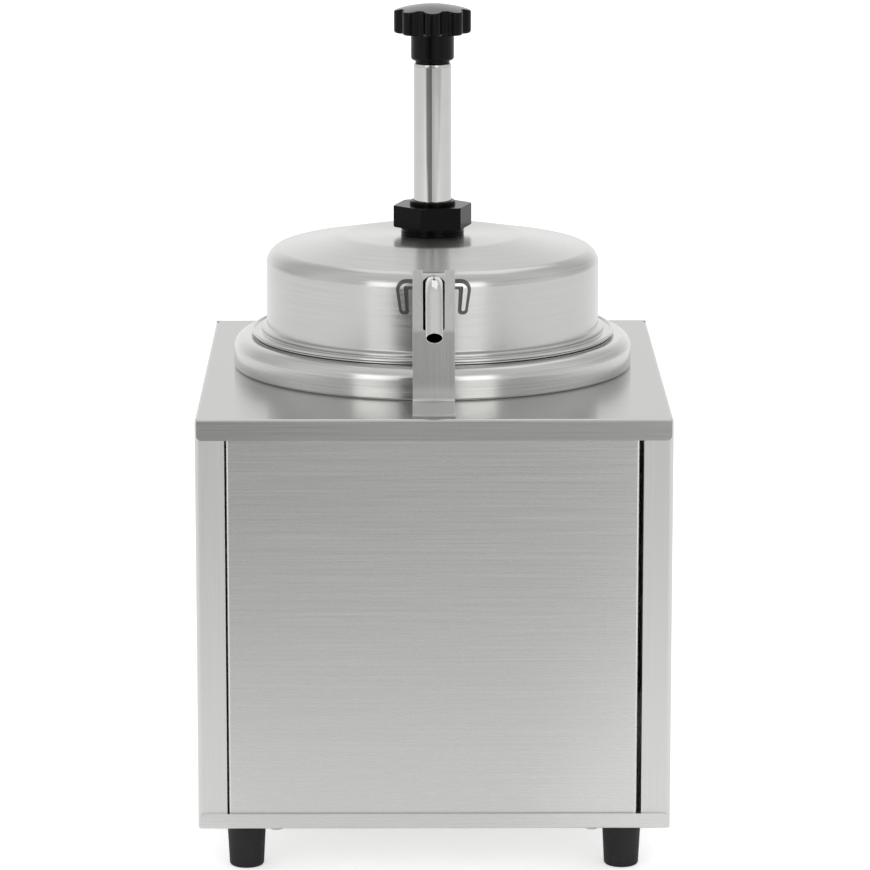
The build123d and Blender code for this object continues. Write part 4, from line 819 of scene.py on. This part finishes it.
# ------
# Pump above the lid: the black bush that guides the sleeve, a grooved washer and the hexagon nut
# that clamps the lid. All three are turned from black acetal.
WASHER = LID_TOP + 4.2
NUT = WASHER + 11.2
BUSH_BORE, BUSH, BUSH_FLANGE = 9.75, 11.8, 16.0
BUSH_FOOT, UNDER_LID = LID_TOP - 13, LID_TOP - LID_WALL
WASHER_RADIUS, GROOVE = 16.3, 15.5
NUT_CORNER, NUT_CHAMFER, NUT_TURN = 20.785, 20.7, 13.5  # 36 mm across its flats
THREAD = 11.9
# Turned acetal: deep black and half glossy.
acetal = moulded("black acetal, turned", ("#040405", "#070708"), (0.16, 0.24), 0.5, 0.05, shine=0.1)
bush = turned([
    (BUSH_BORE, BUSH_FOOT, 0), (BUSH, BUSH_FOOT, 0.3), (BUSH, LID_TOP - 4.8, 0),
    (BUSH_FLANGE, LID_TOP - 4.8, 0.4), (BUSH_FLANGE, UNDER_LID, 0), (BUSH, UNDER_LID, 0),
    (BUSH, NUT + 2.2, 0.8), (BUSH_BORE, NUT + 2.2, 0.4),
])
piece("guide_bush", bush, acetal, "lid_pump", "nut_black", "pump_bush")
washer = turned([
    (THREAD, LID_TOP, 0), (WASHER_RADIUS, LID_TOP, 0.6), (WASHER_RADIUS, LID_TOP + 1.7, 0.2),
    (GROOVE, LID_TOP + 1.7, 0.2), (GROOVE, LID_TOP + 2.5, 0.2), (WASHER_RADIUS, LID_TOP + 2.5, 0.2),
    (WASHER_RADIUS, WASHER, 0.6), (THREAD, WASHER, 0.2),
])
piece("grooved_washer", washer, acetal, "lid_pump", "nut_black", "lid_washer")

nut = turned([(0, WASHER, 0), (NUT_CORNER, WASHER, 0), (NUT_CORNER, NUT, 0), (0, NUT, 0)], steps=6)
bmesh.ops.rotate(
    nut, verts=nut.verts, cent=(0, POT_Y * MM, 0), matrix=Matrix.Rotation(math.radians(NUT_TURN), 3, "Z"),
)
blank = turned([(0, WASHER, 0), (NUT_CHAMFER, WASHER, 0.7), (NUT_CHAMFER, NUT, 0.7), (0, NUT, 0)])
nut = combined(nut, blank, "INTERSECT")
bore = turned([(0, WASHER - 2, 0), (THREAD, WASHER - 2, 0), (THREAD, NUT + 2, 0), (0, NUT + 2, 0)])
piece("hexagon_nut", combined(nut, bore), acetal, "lid_pump", "nut_black", "pump_nut", sharp=25, soften=0.25)

# ------
# Plunger: a mirror-polished sleeve that slides in the bush, the cap that closes it, and the black
# star knob with eight lobes, a crowned head, a hub and a short neck.
NECK = 389.6
SLEEVE, SLEEVE_BORE, SLEEVE_FOOT = 9.7, 8.2, 281.0
ROD = 3.1
# Mirror-polished tube: it shows the studio as sharp bright and dark bands.
chrome = plain_metal("stainless tube, mirror polished", ("#C6C6C5", "#CFCFCE"), (0.05, 0.09), 9.0, 0.01)
sleeve = turned([
    (SLEEVE_BORE, SLEEVE_FOOT, 0.2), (SLEEVE, SLEEVE_FOOT, 0.3), (SLEEVE, NECK - 1.5, 0.1),
    (SLEEVE_BORE, NECK - 1.5, 0.1),
])
piece("polished_sleeve", sleeve, chrome, "plunger", "sleeve_chrome", "plunger_sleeve")
cap = turned([
    (ROD, NECK - 6, 0), (SLEEVE_BORE - 0.05, NECK - 6, 0.3), (SLEEVE_BORE - 0.05, NECK - 1.5, 0),
    (SLEEVE, NECK - 1.5, 0.2), (SLEEVE, NECK, 0.5), (ROD, NECK, 0),
])
piece("turned_cap", cap, chrome, "plunger", "sleeve_chrome", "sleeve_cap")

HEAD_FOOT, RIM_Z, CROWN = 405.0, 416.8, 3.2
KNOB, VALLEY, LOBE, HUB = 19.8, 16.6, 4.7, 11.1


def crown_height(r):
    """Height of the crowned top at a radius in mm."""
    return RIM_Z + CROWN * (1 - (r / KNOB) ** 2)


def star_radius(angle):
    """Radius of the star's outline in mm: eight round lobes on a circle, their roots filleted."""
    centre = KNOB - LOBE
    off = (angle - math.pi / 2 + math.pi / 8) % (math.pi / 4) - math.pi / 8
    chord = LOBE ** 2 - (centre * math.sin(off)) ** 2
    lobe = centre * math.cos(off) + math.sqrt(chord) if chord > 0 else 0
    blend = max(0.6 - abs(lobe - VALLEY), 0) / 0.6
    return max(lobe, VALLEY) + 0.15 * blend ** 2


crown = [(16, 1.1), (12, 2.0), (8, 2.7), (4, 3.1), (0, CROWN)]
head = turned([
    (0, HEAD_FOOT, 0), (KNOB, HEAD_FOOT, 1.5), (KNOB, RIM_Z, 0.9),
    *[(r, RIM_Z + rise, 0) for r, rise in crown],
], steps=256)
for vert in head.verts:
    x, y, z = vert.co.x / MM, vert.co.y / MM - POT_Y, vert.co.z / MM
    r = math.hypot(x, y)
    if r > 6:
        share = min((r - 6) / 8, 1)
        shrink = 1 - share * (1 - star_radius(math.atan2(y, x)) / KNOB)
        drop = crown_height(r) - z
        z = crown_height(r * shrink) - drop if z > 411 else z
        vert.co = Vector((x * shrink, y * shrink + POT_Y, z)) * MM
hub = turned([
    (ROD, NECK, 0), (8.85, NECK, 0.3), (8.85, NECK + 1.6, 0.2), (HUB, NECK + 1.6, 1.5),
    (HUB, HEAD_FOOT + 0.3, 0), (ROD, HEAD_FOOT + 0.3, 0),
])
# Moulded phenolic: deep black, with the gloss of its mould. Its crown is painted grey: a painted sheen
# for the sky that it mirrors.
phenolic = moulded(
    "black phenolic, moulded", ("#020203", "#050506"), (0.2, 0.28), 0.6, 0.05, shine=0.06, coat=0.2,
)
painted_sheen_phenolic = moulded(
    "black phenolic, crown painted with its sheen", ("#4C4C4D", "#606061"), (0.24, 0.34), 0.6, 0.05, shine=0.3, coat=0.3,
)
knob = piece("lobed_knob", joined(head, hub), phenolic, "plunger", "black_moulded", "star_knob", sharp=50)
knob.data.materials.append(painted_sheen_phenolic)
# Faces that look up on the crown take the grey copy: painted sheen.
for face in knob.data.polygons:
    if face.normal.z > 0.85 and face.center.z > RIM_Z * MM:
        face.material_index = 1

# ------
# Pump below the lid: turned cylinder, rod and collar, the piston with its seals, and the white block
# with its two ball valves. The CAD's own shapes are right, so they only get their finish.
# Turned bar has fine bright rings, milled acetal and silicone are off-white, and lapped balls shine.
turned_steel = steel(
    "316 bar, turned", lambda tree: turned_lines(tree, 0.25), ("#C6C6C4", "#D8D8D6"), (0.18, 0.28), 0.1,
    anisotropy=0.3,
)
white_acetal = moulded("white acetal, milled", ("#DADAD4", "#E6E6E1"), (0.35, 0.5), 0.5, 0.08)
silicone = moulded("food silicone", ("#BDBDB6", "#CBCBC5"), (0.5, 0.65), 0.7, 0.1)
brass = plain_metal("brass, turned", ("#B9934A", "#CBA65C"), (0.2, 0.3), 3.0)
polished_ball = plain_metal("bearing steel, lapped", ("#CDCDCE", "#DADADB"), (0.05, 0.1), 2.0, 0.01)
dress(turned_steel, "pump_cylinder", "plunger_rod", "stop_collar", "valve_retainer", "rod_nut", "riser_nut")
dress(white_acetal, "valve_block", "piston")
dress(silicone, "piston_seals")
dress(brass, "knob_insert")
dress(polished_ball, "foot_ball", "discharge_ball")

# ------
# Return spring: one hard-drawn wire wound in twelve turns. It stands on the cylinder's floor, which
# stays with the lid. In the pump it closes up as the piston comes down on it; here it keeps its wound length.
TURNS, WIRE, COIL, STROKE = 12, 0.8, 9.5, 60.0
STEPS = TURNS * 32
lowest, highest = (corner.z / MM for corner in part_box("return_spring"))
length = highest - lowest
wire_start = Matrix.Translation((COIL * MM, POT_Y * MM, (lowest + WIRE) * MM))
wire = bmesh.new()
bmesh.ops.create_circle(
    wire, cap_ends=False, segments=12, radius=WIRE * MM,
    matrix=wire_start @ Matrix.Rotation(math.pi / 2, 4, "X"),
)
bmesh.ops.spin(
    wire, geom=wire.verts[:] + wire.edges[:], cent=(0, POT_Y * MM, 0), axis=(0, 0, 1),
    dvec=(0, 0, (length - 2 * WIRE) / STEPS * MM), angle=TURNS * math.tau, steps=STEPS, use_merge=False,
)
bmesh.ops.holes_fill(wire, edges=wire.edges, sides=0)
bmesh.ops.recalc_face_normals(wire, faces=wire.faces)
# Drawn wire: a grey, half-dull metal.
drawn_wire = plain_metal("spring wire, drawn", ("#A9A9AA", "#C2C2C3"), (0.25, 0.38), 2.0)
spring = piece("wound_return_spring", wire, drawn_wire, "lid_pump", "spring_steel", "return_spring", sharp=60)
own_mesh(spring)

# ------
# Rear panel: the same pan as in front, with louvre slots, and cut for thermostat, switch, lamp and
# gland. The scale round the thermostat's dial is printed in black.
BACK = half_d - SHEET
CONTROL = 83.0
DIAL_X, SWITCH_X, LAMP_X, GLAND_X, GLAND_Z = -48.0, 6.0, 40.0, 62.0, 51.0
SHAFT_HOLE, SCREW_REACH, SCREW_BORE, LAMP_HOLE, GLAND_HOLE = 4.0, 14.0, 1.75, 5.25, 8.15
SWITCH_ACROSS, SWITCH_UP = 6.425, 9.425  # half of its cut-out
LOUVRE_X, LOUVRE_Z = 29.9, TOP - 62


def faced(form, x, z, out=BACK):
    """Lays a form that was made upright on the origin against the rear panel, facing back."""
    bmesh.ops.rotate(form, verts=form.verts, cent=(0, 0, 0), matrix=Matrix.Rotation(-math.pi / 2, 3, "X"))
    bmesh.ops.translate(form, verts=form.verts, vec=(x * MM, out * MM, z * MM))
    return form


REAR_GAP = 1.5
rear = pan(1, COLUMN + REAR_GAP - half_w, half_w - COLUMN - REAR_GAP)
for x, z, r in (
    (DIAL_X, CONTROL, SHAFT_HOLE), (DIAL_X - SCREW_REACH, CONTROL, SCREW_BORE),
    (DIAL_X + SCREW_REACH, CONTROL, SCREW_BORE), (LAMP_X, CONTROL, LAMP_HOLE), (GLAND_X, GLAND_Z, GLAND_HOLE),
):
    drill = turned([(0, -6, 0), (r, -6, 0), (r, 6, 0), (0, 6, 0)], (0, 0), 48)
    rear = combined(rear, faced(drill, x, z))
rear = combined(rear, bar(
    (SWITCH_X - SWITCH_ACROSS, SWITCH_X + SWITCH_ACROSS), (BACK - 6, BACK + 6),
    (CONTROL - SWITCH_UP, CONTROL + SWITCH_UP),
))
for x in (-LOUVRE_X, LOUVRE_X):
    rear = combined(rear, slot_row(7, 7.0, 46.0, 3.0, (x, BACK, LOUVRE_Z), upright=True))
piece("rear_panel_pan", rear, panel_steel, "cabinet", "cabinet_steel", "rear_panel")


def lettering(text, size, place, tilt=0.0, thick=0.04):
    """Flat printed characters that face back, as a mesh form centred on a place in mm."""
    curve = bpy.data.curves.new("print", "FONT")
    curve.body, curve.size, curve.extrude = text, size * MM, thick / 2 * MM
    curve.align_x, curve.align_y = "CENTER", "CENTER"
    made = bpy.data.objects.new("print", curve)
    scene.collection.objects.link(made)
    form = bmesh.new()
    form.from_mesh(made.evaluated_get(bpy.context.evaluated_depsgraph_get()).to_mesh())
    bpy.data.objects.remove(made)
    bpy.data.curves.remove(curve)
    turn = Matrix(((-1, 0, 0), (0, 0, 1), (0, 1, 0))).to_4x4()
    put = Matrix.Translation([c * MM for c in place]) @ Matrix.Rotation(math.radians(tilt), 4, "X") @ turn
    bmesh.ops.transform(form, matrix=put, verts=form.verts)
    return form


FIGURES = 25.0  # radius of their circle
INK = BACK + 0.02
marks = [lettering("OFF", 4.2, (DIAL_X, INK, CONTROL + FIGURES))]
for number in range(1, 7):
    turn = math.radians(45 * number)
    place = (DIAL_X - FIGURES * math.sin(turn), INK, CONTROL + FIGURES * math.cos(turn))
    marks.append(lettering(str(number), 5.0, place))
for step in range(13):
    turn = math.radians(22.5 * step)
    tick = bar((-0.25, 0.25), (-0.02, 0.02), (20.2, 21.8))
    bmesh.ops.rotate(tick, verts=tick.verts, cent=(0, 0, 0), matrix=Matrix.Rotation(-turn, 3, "Y"))
    bmesh.ops.translate(tick, verts=tick.verts, vec=(DIAL_X * MM, INK * MM, CONTROL * MM))
    marks.append(tick)
# Screen-printed ink: flat black and dull.
black_ink = moulded("screen ink, black", ("#0C0C0D", "#131314"), (0.4, 0.5), 0.3, 0.05)
piece("thermostat_scale", joined(*marks), black_ink, "cabinet", "control_black")

# ------
# Controls: thermostat dial with a fluted grip and a white pointer, snap-in rocker switch, and an
# amber pilot lamp in its bezel.
GRIP, GRIP_FRONT, SKIRT, SKIRT_FRONT = 13.5, 14.7, 19.0, 3.0
FLUTE, FLUTE_PLACE = 2.2, 14.6  # twelve round flutes, their centres just outside the grip
# Moulded nylon: black with a fine, satin grain.
nylon = moulded("black nylon, moulded", ("#0D0D0E", "#141415"), (0.35, 0.5), 0.4, 0.12)
grip = turned([(0, 1.5, 0), (GRIP, 1.5, 0), (GRIP, GRIP_FRONT, 1.2), (0, GRIP_FRONT, 0)], (0, 0), 240)
for vert in grip.verts:
    x, y = vert.co.x / MM, vert.co.y / MM
    r, turn = math.hypot(x, y), math.atan2(y, x)
    off = (turn - math.radians(15) + math.pi / 12) % (math.pi / 6) - math.pi / 12
    chord = FLUTE ** 2 - (FLUTE_PLACE * math.sin(off)) ** 2
    if r > 11 and chord > 0:
        shrink = min(1, (FLUTE_PLACE * math.cos(off) - math.sqrt(chord)) / GRIP)
        vert.co.x, vert.co.y = x * shrink * MM, y * shrink * MM
skirt = turned([(0, 0, 0), (SKIRT, 0, 0.2), (SKIRT, SKIRT_FRONT, 1.0), (0, SKIRT_FRONT, 0)], (0, 0), 96)
dial = faced(joined(skirt, grip), DIAL_X, CONTROL, BACK + 0.6)
piece("fluted_dial", dial, nylon, "thermostat_dial", "control_black", "thermostat_dial", sharp=35, soften=0.2)
# White paint run into the marks: clean white and dull.
white_ink = moulded("filled pointer, white", ("#DCDCDA", "#E8E8E6"), (0.4, 0.5), 0.3, 0.05)
pointer = rounded(
    bar((DIAL_X - 0.8, DIAL_X + 0.8), (BACK + 3.2, BACK + 4.2), (CONTROL + 12.6, CONTROL + 17)),
    lambda at, way: abs(way.y) > 0.9 and at.z > CONTROL + 15, 0.7, 4,
)
piece("dial_pointer", pointer, white_ink, "thermostat_dial", "control_black")
dress(nylon, "switch_frame", "rocker", "pilot_lamp", "thermostat_body")
rocker_marks = joined(
    lettering("I", 3.6, (SWITCH_X, BACK + 4.03, CONTROL + 2.9), -23.0),
    lettering("O", 3.2, (SWITCH_X, BACK + 3.12, CONTROL - 3.45), 5.0),
)
piece("rocker_marks", rocker_marks, white_ink, "rocker", "control_black")

# Amber acrylic: a glossy orange lens with flutes 1 mm apart.
lens_amber, tree = new_finish("amber acrylic lens")
place = add(tree, "TexCoord").outputs["Object"]
drawn = add(tree, "Mapping", {"Vector": place, "Scale": (900, 900, 900)})
flutes = add(tree, "TexWave", {"Vector": drawn.outputs[0], "Scale": 0.35}).outputs[1]
amber = add(tree, "MixRGB", {0: flutes, 1: linear("#B04A06"), 2: linear("#D06A0C")})
bump = add(tree, "Bump", {"Strength": 0.2, "Distance": 0.0002, "Height": flutes})
shader = add(tree, "BsdfPrincipled", {
    "Base Color": amber.outputs[0], "Roughness": 0.12, "Normal": bump.outputs[0], "Coat Weight": 0.3,
})
add(tree, "OutputMaterial", {"Surface": shader.outputs[0]})
dress(lens_amber, "pilot_lens")

# ------
# Supply side: nylon gland with its locknut, and inside the cabinet the terminal block, the earth
# stud and the thermostat's bulb on the bath's wall. All keep the shapes that the CAD gives them.
dress(nylon, "cable_gland", "gland_locknut")
dress(white_acetal, "terminal_block")
dress(zinc, "terminal_screws", "earth_stud", "earth_nut", "thermostat_screws", "bulb_clip")
dress(turned_steel, "thermostat_shaft", "thermostat_bulb")
